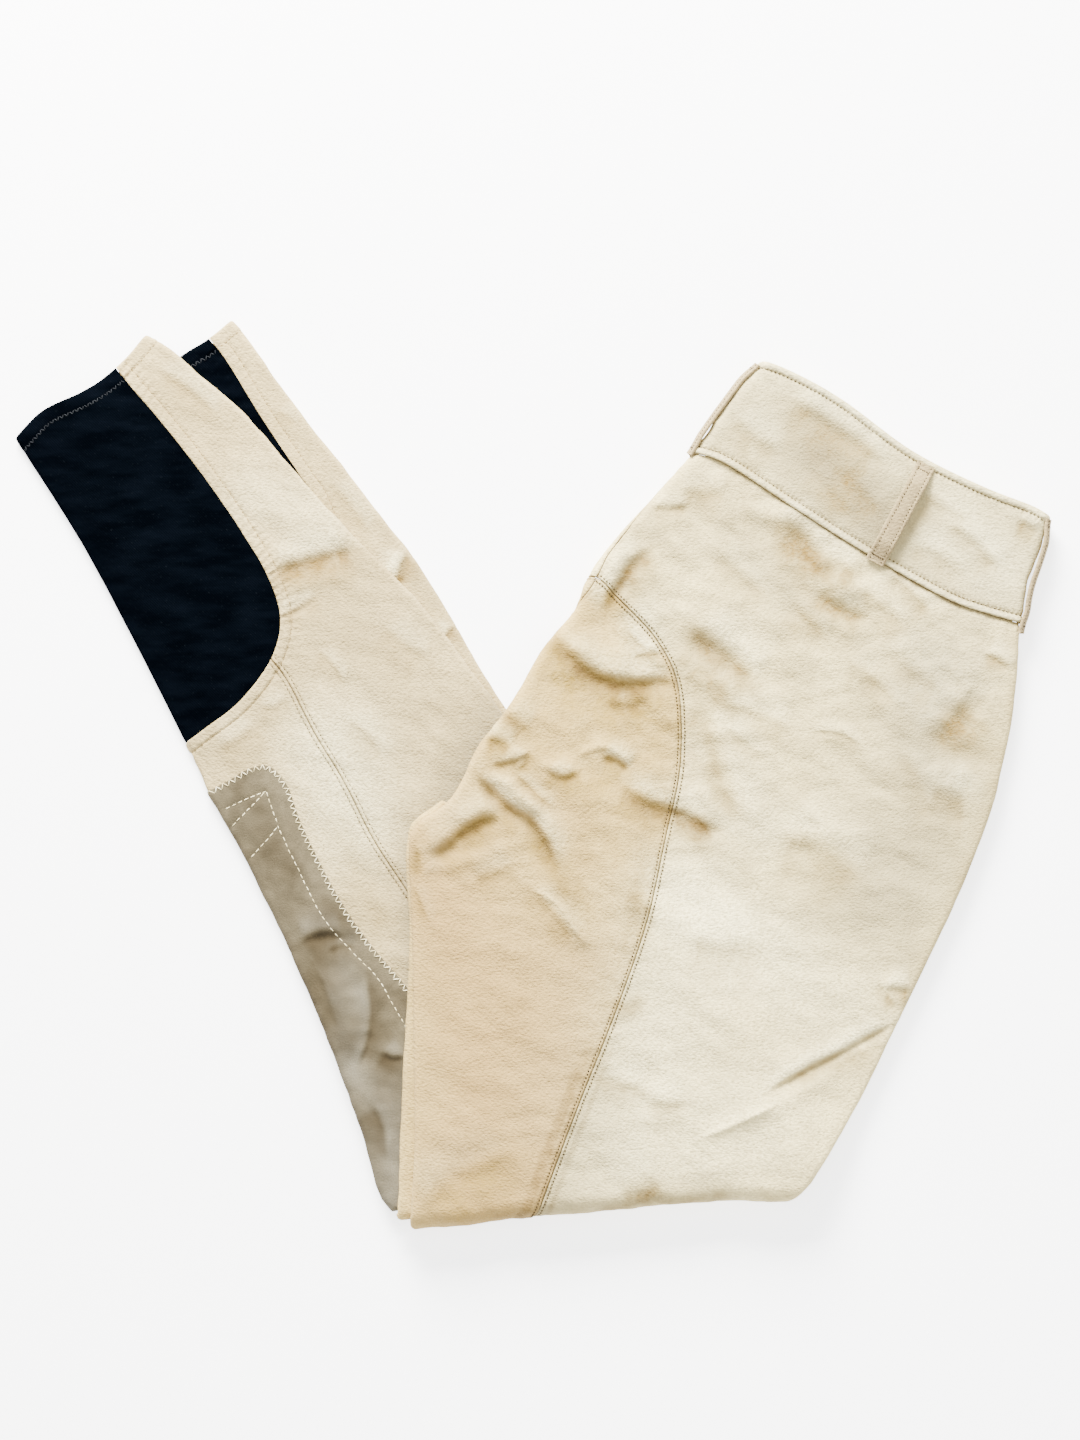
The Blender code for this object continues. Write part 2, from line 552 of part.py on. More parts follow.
def meshed(cloth, seams, ends, folds, low, high):
    """The pattern's triangles, cut along its seams and kept inside its edges and ends."""
    rows, turned_ends = cloth.turn_lines()
    loose = fold_grid(folds, 1.1, low, high, GRID_STEP)
    plan, faces = triangles(seams + ends + turned_ends, rows, loose, 0.5 * LINE_STEP)
    middles = plan[faces].mean(axis=1)
    kept = cloth.holds(middles)
    for end in ends:
        kept &= end.outside(middles) < 0
    return plan, faces[kept]


# ---------------------------------------------------------------- thighs, seat and waist


def build_thigh():
    cloth = Cloth(thigh_top, [SIDE, BACK], THIGH_TURNS, KNEE)
    top_edge = cut_line(WAIST_TOP, before=25.0, after=25.0)
    waist = cut_line(WAIST_SEAM, before=25.0, after=25.0)
    inner = cut_line(INNER_SEAM, before=30.0)
    centre = cut_line(CENTRE_BACK_SEAM)
    seams = [waist, inner, centre]
    plan, faces = meshed(cloth, seams, [top_edge], THIGH_FOLDS + BAND_FOLDS, (-90, -290), (300, 240))
    middles = plan[faces].mean(axis=1)
    in_band = waist.outside(middles) > 0
    past_centre = centre.outside(middles) < 0
    in_inner = inner.outside(middles) < 0
    pieces = [
        ("waistband", in_band, BEIGE, BAND_RISE, BAND_CLOTH),
        ("right_seat_panel", ~in_band & ~past_centre & ~in_inner, BEIGE, 0.0, CLOTH),
        ("right_inner_panel", ~in_band & ~past_centre & in_inner, SAND, 0.0, CLOTH),
        ("left_seat_edge", ~in_band & past_centre & ~in_inner, BEIGE, 0.0, CLOTH),
        ("left_inner_edge", ~in_band & past_centre & in_inner, SAND, 0.0, CLOTH),
    ]
    for name, chosen, colour, rise, wall in pieces:
        add_wall(name, cloth, plan, faces[chosen], seams, colour, rise, wall)
    return cloth


def build_far_thigh():
    """The edge of the left thigh that stands out past the right one, turned over and rolled at the knee."""
    knee = Line(KNEE.offset(FAR_KNEE_RADIUS - KNEE_RADIUS))
    cloth = Cloth(far_thigh_top, [FAR_THIGH], FAR_THIGH_TURN, knee, FAR_KNEE_RADIUS, FAR_KNEE_END)
    inner_end = cut_line(UNDER_NEAR_THIGH, before=30.0, after=30.0)
    ends = [inner_end, cut_line(CROTCH_END, before=20.0, after=40.0)]
    plan, faces = meshed(cloth, [], ends, [], (-95, -290), (-30, 10))
    add_wall("left_thigh_edge", cloth, plan, faces, [], SAND)


# ---------------------------------------------------------------- lower legs


def build_left_shin():
    cloth = Cloth(left_shin_top, [LEFT_FRONT, LEFT_BACK], SHIN_TURN)
    calf = cut_line(LEFT_CALF_SEAM, before=15.0, after=15.0)
    shin = cut_line(LEFT_SHIN_SEAM)
    patch = cut_line(KNEE_PATCH_EDGE, before=15.0)
    ends = [cut_line(LEFT_CUFF, before=20.0, after=20.0), cut_line(UNDER_THIGH, after=20.0)]
    plan, faces = meshed(cloth, [calf, shin, patch], ends, SHIN_FOLDS, (-300, -260), (0, 250))
    middles = plan[faces].mean(axis=1)
    in_calf = calf.outside(middles) < 0
    in_outer = shin.outside(middles) > 0
    past, radius, _ = cloth.beyond(middles)
    in_patch = (patch.outside(middles) < 0) & (past < radius * PATCH_END)
    seams = [calf, shin]
    add_wall("left_calf_stretch", cloth, plan, faces[in_calf], seams, NAVY_BLACK)
    add_wall("left_outer_leg", cloth, plan, faces[~in_calf & in_outer], seams, BEIGE)
    add_wall("left_inner_leg", cloth, plan, faces[~in_calf & ~in_outer], seams, BEIGE)
    add_wall("left_knee_patch", cloth, plan, faces[in_patch], [], SUEDE_TAN, SEAM_GAP + SUEDE, SUEDE)


def build_right_shin():
    cloth = Cloth(right_shin_top, [RIGHT_FRONT], SHIN_TURN)
    calf = cut_line(RIGHT_CALF_SEAM, before=10.0, after=40.0)
    ends = [cut_line(RIGHT_CUFF, before=20.0, after=20.0), cut_line(UNDER_LEFT_SHIN), cut_line(UNDER_THIGH)]
    plan, faces = meshed(cloth, [calf], ends, [], (-245, -20), (20, 260))
    in_calf = calf.outside(plan[faces].mean(axis=1)) < 0
    add_wall("right_calf_stretch", cloth, plan, faces[in_calf], [calf], NAVY_BLACK)
    add_wall("right_outer_leg", cloth, plan, faces[~in_calf], [calf], BEIGE)


# ---------------------------------------------------------------- belt loops


def edge_span(cloth, edge, span):
    """Pattern points along a turned edge, from one plan point beside it to the other, at the loop's lean."""
    places = edge.nearest(span)[0]
    at = np.linspace(places[0], places[1], LOOP_ROWS + 1)
    line = Line(edge.offset(cloth.radius(edge, edge.places) * (LOOP_LEAN - 1)))
    middle = np.column_stack([np.interp(at, edge.places, line.points[:, axis]) for axis in (0, 1)])
    normal = np.column_stack([np.interp(at, edge.places, edge.normals[:, axis]) for axis in (0, 1)])
    return middle, normal, cloth.radius(edge, at)


def add_loop(name, cloth, middle, across, radius, gap):
    """A strip that is sewn to the waistband at both ends and stands clear of it between them.

    The radius is that of the turned edge that it lies round, or infinite on the flat.
    """
    share = np.linspace(0.0, 1.0, len(middle))
    arch = SEAM_GAP + (gap - SEAM_GAP) * eased(share / LOOP_RISE) * eased((1 - share) / LOOP_RISE)
    stand = BAND_RISE + arch
    reach = LOOP_WIDTH / 2 / (1 + (stand + LOOP_CLOTH) / radius)
    plan = np.vstack([middle + across * (reach * column)[:, None] for column in LOOP_COLUMNS])
    stand = np.tile(stand, len(LOOP_COLUMNS))
    count = len(middle)
    faces = []
    for start in range(0, (len(LOOP_COLUMNS) - 1) * count, count):
        for i in range(start, start + count - 1):
            faces += [(i, i + 1, i + count), (i + 1, i + count + 1, i + count)]
    faces = np.array(faces)
    outer = cloth.place(plan, -stand - LOOP_CLOTH)
    inner = cloth.place(plan, -stand)
    a, b, c = outer[faces[0]]
    if np.dot(np.cross(b - a, c - a), a - inner[faces[0, 0]]) < 0:
        faces = faces[:, ::-1]
    add_shell(name, outer, inner, faces, BEIGE)


def build_loops(cloth):
    ends = np.array(BACK_LOOP)
    share = np.linspace(0.0, 1.0, LOOP_ROWS + 1)[:, None]
    middle = ends[0] + (ends[1] - ends[0]) * share
    run = (ends[1] - ends[0]) / np.linalg.norm(ends[1] - ends[0])
    across = np.tile([-run[1], run[0]], (len(middle), 1))
    add_loop("belt_loop_back", cloth, middle, across, math.inf, BACK_LOOP_GAP)
    middle, normal, radius = edge_span(cloth, SIDE, SIDE_LOOP_SPAN)
    add_loop("belt_loop_side", cloth, middle, normal, radius, SIDE_LOOP_GAP)
    middle, normal, radius = edge_span(cloth, BACK, CENTRE_LOOP_SPAN)
    add_loop("belt_loop_centre_back", cloth, middle, normal, radius, CENTRE_LOOP_GAP)


# ---------------------------------------------------------------- hidden layers


def ring_line(outline):
    """The closed outline as a Line whose first and last normals match."""
    line = Line(np.vstack([outline, outline[:1]]))
    corner = line.normals[0] + line.normals[-1]
    line.normals[0] = line.normals[-1] = corner / np.linalg.norm(corner)
    return line


def inset(outline, amount, step):
    """The closed outline moved in by one amount for each point, without the loops that form at corners."""
    moved = ring_line(outline).offset(-np.append(amount, amount[0]))[:-1]
    kept = moved[depth_inside(moved, outline) > amount - 0.35]
    return thinned(np.vstack([kept, kept[:1]]), step)[:-1]


def thigh_outline():
    """The thighs' closed outline, clockwise from the waist."""
    side = [p for p in SIDE_FOLD if p[1] > -225.0]
    back = [p for p in INSEAM_FOLD if p[1] > -239.0] + SEAT_FOLD
    return np.vstack([smooth_line(points, 6.0)[:-1] for points in (WAIST_TOP, side, KNEE_FOLD, back)])


def thigh_insets(outline):
    """How far in the hidden layers end, for each point of the thighs' outline."""
    x, y = outline.T
    at_back = BACK.outside(outline) > -1.0
    amount = np.full(len(outline), CORE_INSET)
    amount[at_back & (y > -8.0)] = CORE_SEAT_INSET
    amount[at_back & (y <= -8.0)] = CORE_NOTCH_INSET
    amount[(y > 125.0) & ~at_back & (SIDE.outside(outline) < -2.0)] = CORE_WAIST_INSET
    amount[KNEE.outside(outline) > -1.0] = CORE_KNEE_INSET
    spread = np.concatenate([amount[-2:], amount, amount[:2]])
    return np.maximum(np.convolve(spread, np.ones(5) / 5, "valid"), np.where(at_back, amount, 0.0))


def cap(outline, loose, height, clear):
    """Triangles across a closed outline, through the loose points that lie clear inside it."""
    loose = loose[depth_inside(loose, outline) > clear]
    count = len(outline)
    ring = [(i, (i + 1) % count) for i in range(count)]
    points = [Vector(p) for p in np.vstack([outline, loose])]
    plan, _, faces, *_ = delaunay_2d_cdt(points, ring, [], 1, 1e-4)
    plan = np.array([tuple(p) for p in plan])
    faces = np.array(faces)
    a, b, c = (plan[faces[:, k]] for k in range(3))
    area = (b[:, 0] - a[:, 0]) * (c[:, 1] - a[:, 1]) - (b[:, 1] - a[:, 1]) * (c[:, 0] - a[:, 0])
    return np.column_stack([plan, height(plan)]), np.where((area < 0)[:, None], faces[:, ::-1], faces)


def slab(name, outline, top, troughs, foot, side_rows):
    """A closed layer: its upper face, its side in rows, and its underside, which steps down inside."""
    low, high = outline.min(axis=0), outline.max(axis=0)
    step_rings = [inset(outline, np.full(len(outline), CORE_FOOT + more), CORE_STEP) for more in (0.0, 10.0)]
    floor_grid = grid_in(low, high, 2.5 * CORE_STEP)
    floor_grid = floor_grid[depth_inside(floor_grid, outline) > CORE_FOOT + 20.0]
    upper, upper_faces = cap(outline, fold_grid(troughs, 2.2, low, high, CORE_STEP), top, 0.4 * CORE_STEP)
    under, under_faces = cap(outline, np.vstack([*step_rings, floor_grid]), foot, 1.0)
    count = len(outline)
    rings = [under[:count]]
    for reach, height in side_rows:
        rings.append(np.column_stack([ring_line(outline).offset(np.append(reach, reach[0]))[:-1], height]))
    top_start = len(rings) * count
    under_start = top_start + len(upper) - count
    points = np.vstack([*rings, upper, under[count:]])
    faces = []
    for lower in range(0, top_start, count):
        for i in range(count):
            after = (i + 1) % count
            faces.append((lower + i, lower + count + i, lower + count + after, lower + after))
    faces += [tuple(face + top_start) for face in upper_faces]
    faces += [tuple(np.where(face < count, face, face + under_start)[::-1]) for face in under_faces]
    return add_object(name, points, faces, SHADED)


def thigh_side_rows(outline):
    """The rows up the thighs' side, as how far out and how high each outline point lies in them."""
    base = thigh_base(outline)
    top = layers_top(outline, thigh_base, 2 * THIGH_TUBE, THIGH_FOLDS + BAND_FOLDS)
    outer, inner = SIDE.outside(outline), BACK.outside(outline)
    at_knee = (eased((KNEE.outside(outline) + CORE_KNEE_INSET + 6.0) / 5.0)
               * eased((-16.0 - outer) / 10.0) * eased((-10.0 - inner) / 5.0))
    at_outer = eased((outer + CORE_INSET + 2.6) / 2.0) * eased((68.0 - outline[:, 1]) / 8.0) * (1 - at_knee)
    notched = ((outline[:, 1] < -12.0) & (inner > -CORE_NOTCH_INSET - 2.0)
               & (KNEE.outside(outline) < -CORE_KNEE_INSET - 6.0))
    axis = base + 2 * THIGH_TUBE - KNEE_RADIUS
    rows = []
    for number, (height, out_outer, out_inner, turn) in enumerate(THIGH_SIDE_ROWS):
        rolled = CORE_KNEE_RADIUS * math.sqrt(1 - turn**2) + KNEE_RADIUS - CORE_KNEE_INSET
        level = (base + height) * (1 - at_knee) + (axis + CORE_KNEE_RADIUS * turn) * at_knee
        level = np.minimum(level, top - ROW_DROP * (len(THIGH_SIDE_ROWS) - number))
        rows.append((out_outer * at_outer + out_inner * notched + rolled * at_knee, level))
    return rows


def layers_top(plan, base, tube, folds):
    """Height of a layer's upper face, below the panels and their troughs."""
    return base(plan) + tube - CLOTH - CORE_CLEAR - folds_at(plan, folds)[1]


def shin_side_rows(outline, base):
    return [(np.full(len(outline), out), base(outline) + height) for height, out in SHIN_SIDE_ROWS]


def floored(lifted, outline, plan, sunk):
    """Height of a layer's underside.

    Near the edge it lies on what lifts it. Further in it lies a little below the floor, where it is cut level.
    """
    foot = lifted(plan) * (1 - eased((depth_inside(plan, outline) - CORE_FOOT) / 10.0))
    return foot - sunk * (1 - eased(foot / 2.5))


def right_shin_base(plan):
    return np.zeros(len(plan))


def build_hidden_layers():
    """The layers that don't show, as three slabs that are joined and cut level with the floor."""
    thighs = thigh_outline()
    thighs = inset(thighs, thigh_insets(thighs), CORE_RIM_STEP)
    left = inset(LEFT_SHIN, np.full(len(LEFT_SHIN), CORE_SHIN_INSET), CORE_RIM_STEP)
    right = inset(RIGHT_SHIN, np.full(len(RIGHT_SHIN), CORE_SHIN_INSET), CORE_RIM_STEP)
    left_rows = shin_side_rows(left, shin_base)
    right_rows = shin_side_rows(right, right_shin_base)

    def layer(name, outline, base, tube, folds, side_rows, sunk):
        def top(plan):
            return layers_top(plan, base, tube, folds)

        def foot(plan):
            return floored(base, outline, plan, sunk)

        return slab(name, outline, top, [fold for fold in folds if fold[0] < 0], foot, side_rows)

    core = layer("hidden_layers", thighs, thigh_base, 2 * THIGH_TUBE, THIGH_FOLDS + BAND_FOLDS,
                 thigh_side_rows(thighs), 2.0)
    joined = [
        layer("left_shin_layers", left, shin_base, SHIN_TUBE, SHIN_FOLDS, left_rows, 2.6),
        layer("right_shin_layers", right, right_shin_base, SHIN_TUBE, [], right_rows, 1.4),
    ]
    bpy.ops.mesh.primitive_cube_add(size=1.0, location=(0.0, 0.0, -0.005), scale=(0.8, 0.8, 0.01))
    floor = bpy.context.object
    floor.name = "floor_cut"
    for cutter, operation in [(shape, "UNION") for shape in joined] + [(floor, "DIFFERENCE")]:
        cutter.hide_render = True
        cutter.display_type = "WIRE"
        cut = core.modifiers.new(cutter.name, "BOOLEAN")
        cut.operation = operation
        cut.object = cutter
        cut.solver = "EXACT"


def main():
    for obj in list(bpy.data.objects):
        bpy.data.objects.remove(obj, do_unlink=True)
    thigh = build_thigh()
    build_loops(thigh)
    build_far_thigh()
    build_left_shin()
    build_right_shin()
    build_hidden_layers()


main()
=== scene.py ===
"""Riding breeches folded for storage: the looks of every cloth, seam, loop and stitch.

One leg is laid on the other and both lower legs are turned under at the knee. The pile lies on a pale floor,
seat side up. Every panel is cut from a flat pattern, in millimetres with x across and y towards the waist,
and laid in space by a Cloth, which turns it over the pile's edges. Meshes are in metres, +Z up.

A method that takes only plan takes pattern points, as rows of x and y, and gives one value for each of them.
"""

import logging
import math
from collections.abc import Callable, Sequence
from dataclasses import dataclass
from enum import Enum
from typing import ClassVar

import bpy
import numpy as np
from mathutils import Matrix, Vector
from mathutils.geometry import delaunay_2d_cdt
from mathutils.kdtree import KDTree


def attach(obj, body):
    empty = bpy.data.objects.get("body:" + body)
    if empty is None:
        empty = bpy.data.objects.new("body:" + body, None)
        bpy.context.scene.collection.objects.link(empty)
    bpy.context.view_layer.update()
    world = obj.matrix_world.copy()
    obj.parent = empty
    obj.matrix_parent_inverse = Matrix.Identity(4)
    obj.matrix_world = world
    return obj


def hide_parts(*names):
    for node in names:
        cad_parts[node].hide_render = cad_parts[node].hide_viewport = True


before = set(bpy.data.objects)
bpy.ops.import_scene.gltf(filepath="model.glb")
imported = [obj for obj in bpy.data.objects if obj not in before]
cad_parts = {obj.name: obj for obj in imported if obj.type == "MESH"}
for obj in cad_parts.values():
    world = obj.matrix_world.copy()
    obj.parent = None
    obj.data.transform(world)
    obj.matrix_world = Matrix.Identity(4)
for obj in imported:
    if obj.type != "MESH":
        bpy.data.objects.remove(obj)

MM = 0.001
SEED = 20
BODY = "root"
ROLL_MARKS = (0.35, 0.9, 1.6, 2.6, 3.4, 4.0)
HEM_MARKS = (0.3, 0.8, 1.5, 3.5, 5.5, 6.6, 7.2, 8.0, 9.0)

Array = np.ndarray
Point = tuple[float, float]
Route = tuple[Point, ...]
Row = tuple[float, ...]
Colour = tuple[float, float, float]
Height = Callable[[Array], Array]

log = logging.getLogger("breeches")


# ---------------------------------------------------------------- plan lines


def eased(share: Array | float) -> Array:
    """Rise smoothly from 0 to 1 as share does."""
    share = np.clip(share, 0.0, 1.0)
    return share * share * (3 - 2 * share)


def bell(gap: Array, width: float) -> Array:
    """Give a smooth hump of height 1 that is width wide on each side."""
    return np.exp(-((gap / width) ** 2))


def rounded(share: Array) -> Array:
    """Fall from 1 to 0 as share rises from 0 to 1, along a quarter of a circle."""
    return 1 - np.sqrt(np.clip(1 - (1 - np.clip(share, 0, 1)) ** 2, 0, 1))


def smooth_line(points: Sequence[Point] | Array, step: float) -> Array:
    """Draw a smooth curve through plan points.

    Args:
        points: The x, y points that the curve runs through.
        step: About how far apart its own points lie.

    Returns:
        The points of a centripetal Catmull-Rom curve.
    """
    knots = np.asarray(points, float)
    ends = np.vstack([2 * knots[0] - knots[1], knots, 2 * knots[-1] - knots[-2]])
    found = [knots[:1]]
    for i in range(len(knots) - 1):
        a, b, c, d = ends[i : i + 4]
        gaps = [math.sqrt(max(math.dist(p, q), 1e-6)) for p, q in ((a, b), (b, c), (c, d))]
        t0, t1 = 0.0, gaps[0]
        t2 = t1 + gaps[1]
        t3 = t2 + gaps[2]
        count = max(1, round(math.dist(b, c) / step))
        t = np.linspace(t1, t2, count + 1)[1:, None]
        ab = (t1 - t) / (t1 - t0) * a + (t - t0) / (t1 - t0) * b
        bc = (t2 - t) / (t2 - t1) * b + (t - t1) / (t2 - t1) * c
        cd = (t3 - t) / (t3 - t2) * c + (t - t2) / (t3 - t2) * d
        left = (t2 - t) / (t2 - t0) * ab + (t - t0) / (t2 - t0) * bc
        right = (t3 - t) / (t3 - t1) * bc + (t - t1) / (t3 - t1) * cd
        found.append((t2 - t) / (t2 - t1) * left + (t - t1) / (t2 - t1) * right)
    return np.vstack(found)


def run_on(points: Array, before: float = 0.0, after: float = 0.0) -> Array:
    """Add straight runs to a line.

    Args:
        points: The line's points.
        before: Length of the run added before its start.
        after: Length of the run added after its end.

    Returns:
        The longer line's points.
    """
    out = np.asarray(points, float)
    if before:
        away = out[0] - out[1]
        out = np.vstack([out[0] + away / np.linalg.norm(away) * before, out])
    if after:
        away = out[-1] - out[-2]
        out = np.vstack([out, out[-1] + away / np.linalg.norm(away) * after])
    return out


class Line:
    """A sampled line in the plan. Its left side, looking along it, counts as outside."""

    CHUNK = 4000

    def __init__(self, points: Array) -> None:
        """Measure the line.

        Args:
            points: Its x, y points.
        """
        self.points = np.asarray(points, float)
        self.runs = np.diff(self.points, axis=0)
        self.lengths = np.linalg.norm(self.runs, axis=1)
        self.places = np.concatenate([[0.0], np.cumsum(self.lengths)])
        sides = np.column_stack([-self.runs[:, 1], self.runs[:, 0]]) / self.lengths[:, None]
        corners = np.vstack([sides[:1], sides[:-1] + sides[1:], sides[-1:]])
        self.normals = corners / np.linalg.norm(corners, axis=1)[:, None]

    def nearest(self, plan: Array) -> tuple[Array, Array, Array]:
        """Find the nearest place on the line to each plan point.

        Args:
            plan: The x, y points.

        Returns:
            The place along the line, how far outside it the point lies, and the normal there.
        """
        plan = np.atleast_2d(plan)
        parts = [self._nearest(plan[i : i + self.CHUNK]) for i in range(0, len(plan), self.CHUNK)]
        return tuple(np.concatenate(column) for column in zip(*parts))

    def _nearest(self, plan: Array) -> tuple[Array, Array, Array]:
        """Do the work of nearest on a few points."""
        to = plan[:, None, :] - self.points[None, :-1, :]
        share = np.clip((to * self.runs).sum(2) / self.lengths**2, 0.0, 1.0)
        gap = np.linalg.norm(to - share[:, :, None] * self.runs, axis=2)
        best = gap.argmin(axis=1)
        rows = np.arange(len(plan))
        share, gap = share[rows, best], gap[rows, best]
        normal = self.normals[best] * (1 - share)[:, None] + self.normals[best + 1] * share[:, None]
        normal /= np.linalg.norm(normal, axis=1)[:, None]
        foot = self.points[best] + self.runs[best] * share[:, None]
        side = np.sign(((plan - foot) * normal).sum(1))
        return self.places[best] + share * self.lengths[best], gap * side, normal

    def outside(self, plan: Array) -> Array:
        """Measure how far outside the line each plan point lies."""
        return self.nearest(plan)[1]

    def offset(self, amount: float | Array) -> Array:
        """Move the line outwards, by one amount or one for each of its points."""
        return self.points + self.normals * np.broadcast_to(amount, len(self.points))[:, None]

    def at(self, places: Array) -> Array:
        """Give the points at the given places along the line."""
        return np.column_stack([np.interp(places, self.places, self.points[:, axis]) for axis in (0, 1)])

    def reached(self, plan: Array, reach: float) -> Array:
        """List the plan points in the line's box, made wider by reach on each side."""
        low, high = self.points.min(axis=0) - reach, self.points.max(axis=0) + reach
        return np.flatnonzero(((plan > low) & (plan < high)).all(axis=1))

    def thinned(self, step: float) -> "Line":
        """Give the same line with points about step apart, its ends kept."""
        count = max(1, round(self.places[-1] / step))
        return Line(self.at(np.linspace(0.0, self.places[-1], count + 1)))


def inside(plan: Array, outline: Array) -> Array:
    """Tell whether each plan point lies inside a closed outline."""
    x, y = plan.T[:, :, None]
    x0, y0 = outline.T
    x1, y1 = np.roll(outline, -1, axis=0).T
    crosses = (y0 > y) != (y1 > y)
    reach = x0 + (y - y0) * (x1 - x0) / np.where(y1 == y0, 1e-12, y1 - y0)
    return (crosses & (x < reach)).sum(axis=1) % 2 == 1


def depth_inside(plan: Array, outline: Array) -> Array:
    """Measure how far inside a closed outline each plan point lies, below 0 outside it."""
    gap = np.abs(Line(np.vstack([outline, outline[:1]])).outside(plan))
    return np.where(inside(plan, outline), gap, -gap)


# ---------------------------------------------------------------- folds, ripples, stains and painted shade


def parts_of(row: Row) -> tuple[float, float, Array]:
    """Split a table's row into its depth or strength, its width and the x, y points of its route."""
    return row[0], row[1], np.reshape(row[2:], (-1, 2))


class Folds:
    """A set of folds that are added up. Above each trough, towards the waist, the cloth bulges.

    FADE is the share of its length in which a fold fades out at each end, down to the shares NARROWEST of its
    width and FAINTEST of its height. All else is in widths of the fold. REACH and BULGE_REACH say how far it
    is felt, BULGE where its bulge lies and how wide that is below and above there, and BENDS where a mesh
    bends, at points BEND_STEP mm apart. TROUGH is the share of its depth that a trough keeps beside a bulge.
    TINTS has the strength of the painted shade below a trough and of the painted highlight on its bulge, then
    as BULGE does, and CORE that of the trough's painted dark core without its strength.
    """

    FADE = 0.22
    NARROWEST = 0.65
    FAINTEST = 0.12
    REACH = 3.2
    BULGE_REACH = 9.0
    BULGE = (1.7, 1.2, 3.2)
    TROUGH = 0.6
    # Painted shade below each trough and painted highlight on its bulge; CORE paints the trough's dark core.
    TINTS = {"stain_and_shade": (0.6, 0.4, 4.6, 0.7), "pale": (0.6, 2.2, 0.8, 2.8)}
    CORE = (0.2, 1.9, 0.55)
    BENDS = (-1.6, -1.0, -0.5, 0.0, 0.5, 1.0, 1.6)
    BEND_STEP = 1.6

    def __init__(self, rows: Sequence[Row], step: float = 6.0, gain: float = 1.0, bulge: float = 0.0,
                 tint: float = 0.36) -> None:
        """Draw the folds' lines.

        Args:
            rows: For each fold its height, below 0 for a trough, half its width, and its route's x, y, x, y.
            step: How finely the routes are drawn, in mm.
            gain: What the heights are multiplied by.
            bulge: How high the cloth bulges beside a trough, as a share of its depth.
            tint: How dark the painted shade in a trough's core is.
        """
        parts = map(parts_of, rows)
        self.rows = [(depth, width, Line(smooth_line(route, step))) for depth, width, route in parts]
        self.gain = gain
        self.bulge = bulge
        self.tint = tint

    def near(self, plan: Array) -> list[tuple[float, Array, Array, Array]]:
        """Find the plan points that each fold reaches.

        Args:
            plan: The plan points.

        Returns:
            For each fold its height, the points' numbers, how far on its upper side they lie as a share of
            its width, and how much of its height it has there.
        """
        found = []
        for depth, width, line in self.rows:
            near = line.reached(plan, width * (self.BULGE_REACH if self.bulge else self.REACH))
            if not len(near):
                continue
            place, gap, _ = line.nearest(plan[near])
            share = place / line.places[-1]
            fade = eased(share / self.FADE) * eased((1 - share) / self.FADE)
            upper = 1.0 if line.points[-1, 0] >= line.points[0, 0] else -1.0
            across = gap * upper / (width * (self.NARROWEST + (1 - self.NARROWEST) * fade))
            found.append((depth, near, across, self.FAINTEST + (1 - self.FAINTEST) * fade))
        return found

    def height(self, plan: Array) -> Array:
        """Add up the height that the folds give to each plan point."""
        added = np.zeros(len(plan))
        middle, below, above = self.BULGE
        for depth, near, across, fade in self.near(plan):
            form = bell(across, 1.0)
            if self.bulge and depth < 0:
                width = np.where(across < middle, below, above)
                form = self.TROUGH * form - self.bulge * bell(across - middle, width)
            added[near] += self.gain * depth * fade * form
        return added

    def tints(self, plan: Array) -> dict[str, Array]:
        """Give the painted shade of each trough, core and band below, and the painted highlight on its bulge.
        """
        sides = {"trough": (self.tint, *self.CORE), **self.TINTS}
        found = {name: np.zeros(len(plan)) for name in sides}
        for depth, near, across, fade in self.near(plan):
            if depth < 0:
                strength = min(1.0, -depth) * fade
                for name, (share, middle, below, above) in sides.items():
                    width = np.where(across < middle, below, above)
                    found[name][near] += share * strength * bell(across - middle, width)
        return found

    def bends(self) -> Array:
        """Give pattern points along each fold and on both sides of it, so that a mesh bends there."""
        found = []
        for _, width, line in self.rows:
            line = line.thinned(self.BEND_STEP)
            found += [line.offset(width * side) for side in self.BENDS]
        return np.vstack(found)


def joined_marks(*sets: dict[str, Array]) -> dict[str, Array]:
    """Add up sets of marks by name, each between 0 and 1."""
    names = {name: None for marks in sets for name in marks}
    return {name: np.clip(sum(marks[name] for marks in sets if name in marks), 0.0, 1.0) for name in names}


def stained(plan: Array, rows: Sequence[Row]) -> Array:
    """Add up soft spots.

    Args:
        plan: The plan points.
        rows: For each spot its strength up to 1, how far it spreads in mm, and its route's x, y, x, y.

    Returns:
        The strength at each plan point, from 0 to 1.
    """
    clear = np.ones(len(plan))
    for strength, width, route in map(parts_of, rows):
        clear *= 1 - strength * bell(Line(smooth_line(route, 8.0)).outside(plan), width)
    return 1 - clear


@dataclass(frozen=True)
class Ripple:
    """The uneven surface of cloth that has been folded and handled: many faint waves.

    Attributes:
        seed: Start of the random waves.
        height: Their height together, in mm.
        longest: The longest wave, in mm.
        shortest: The shortest wave, in mm.
        lean: Where the waves mostly run to, in degrees from +x.
        spread: How far a wave may turn from the lean, in degrees.
        count: How many waves there are.
    """

    seed: int
    height: float
    longest: float
    shortest: float
    lean: float = -45.0
    spread: float = 50.0
    count: int = 26

    def at(self, plan: Array) -> Array:
        """Give the height of the waves at each plan point."""
        chance = np.random.default_rng(SEED + self.seed)
        total = np.zeros(len(plan))
        for share in np.linspace(0.0, 1.0, self.count):
            length = self.longest * (self.shortest / self.longest) ** share
            across = math.radians(self.lean + 90.0 + chance.uniform(-self.spread, self.spread))
            wave = plan @ np.array([math.cos(across), math.sin(across)]) * (2 * math.pi / length)
            swell = plan @ chance.uniform(-1.0, 1.0, 2) * (2 * math.pi / (3.1 * length))
            total += np.sin(wave + chance.uniform(0, 6.3) + 1.4 * np.sin(swell)) * (1 - 0.55 * share)
        return total * self.height / math.sqrt(self.count)


# ---------------------------------------------------------------- the pile


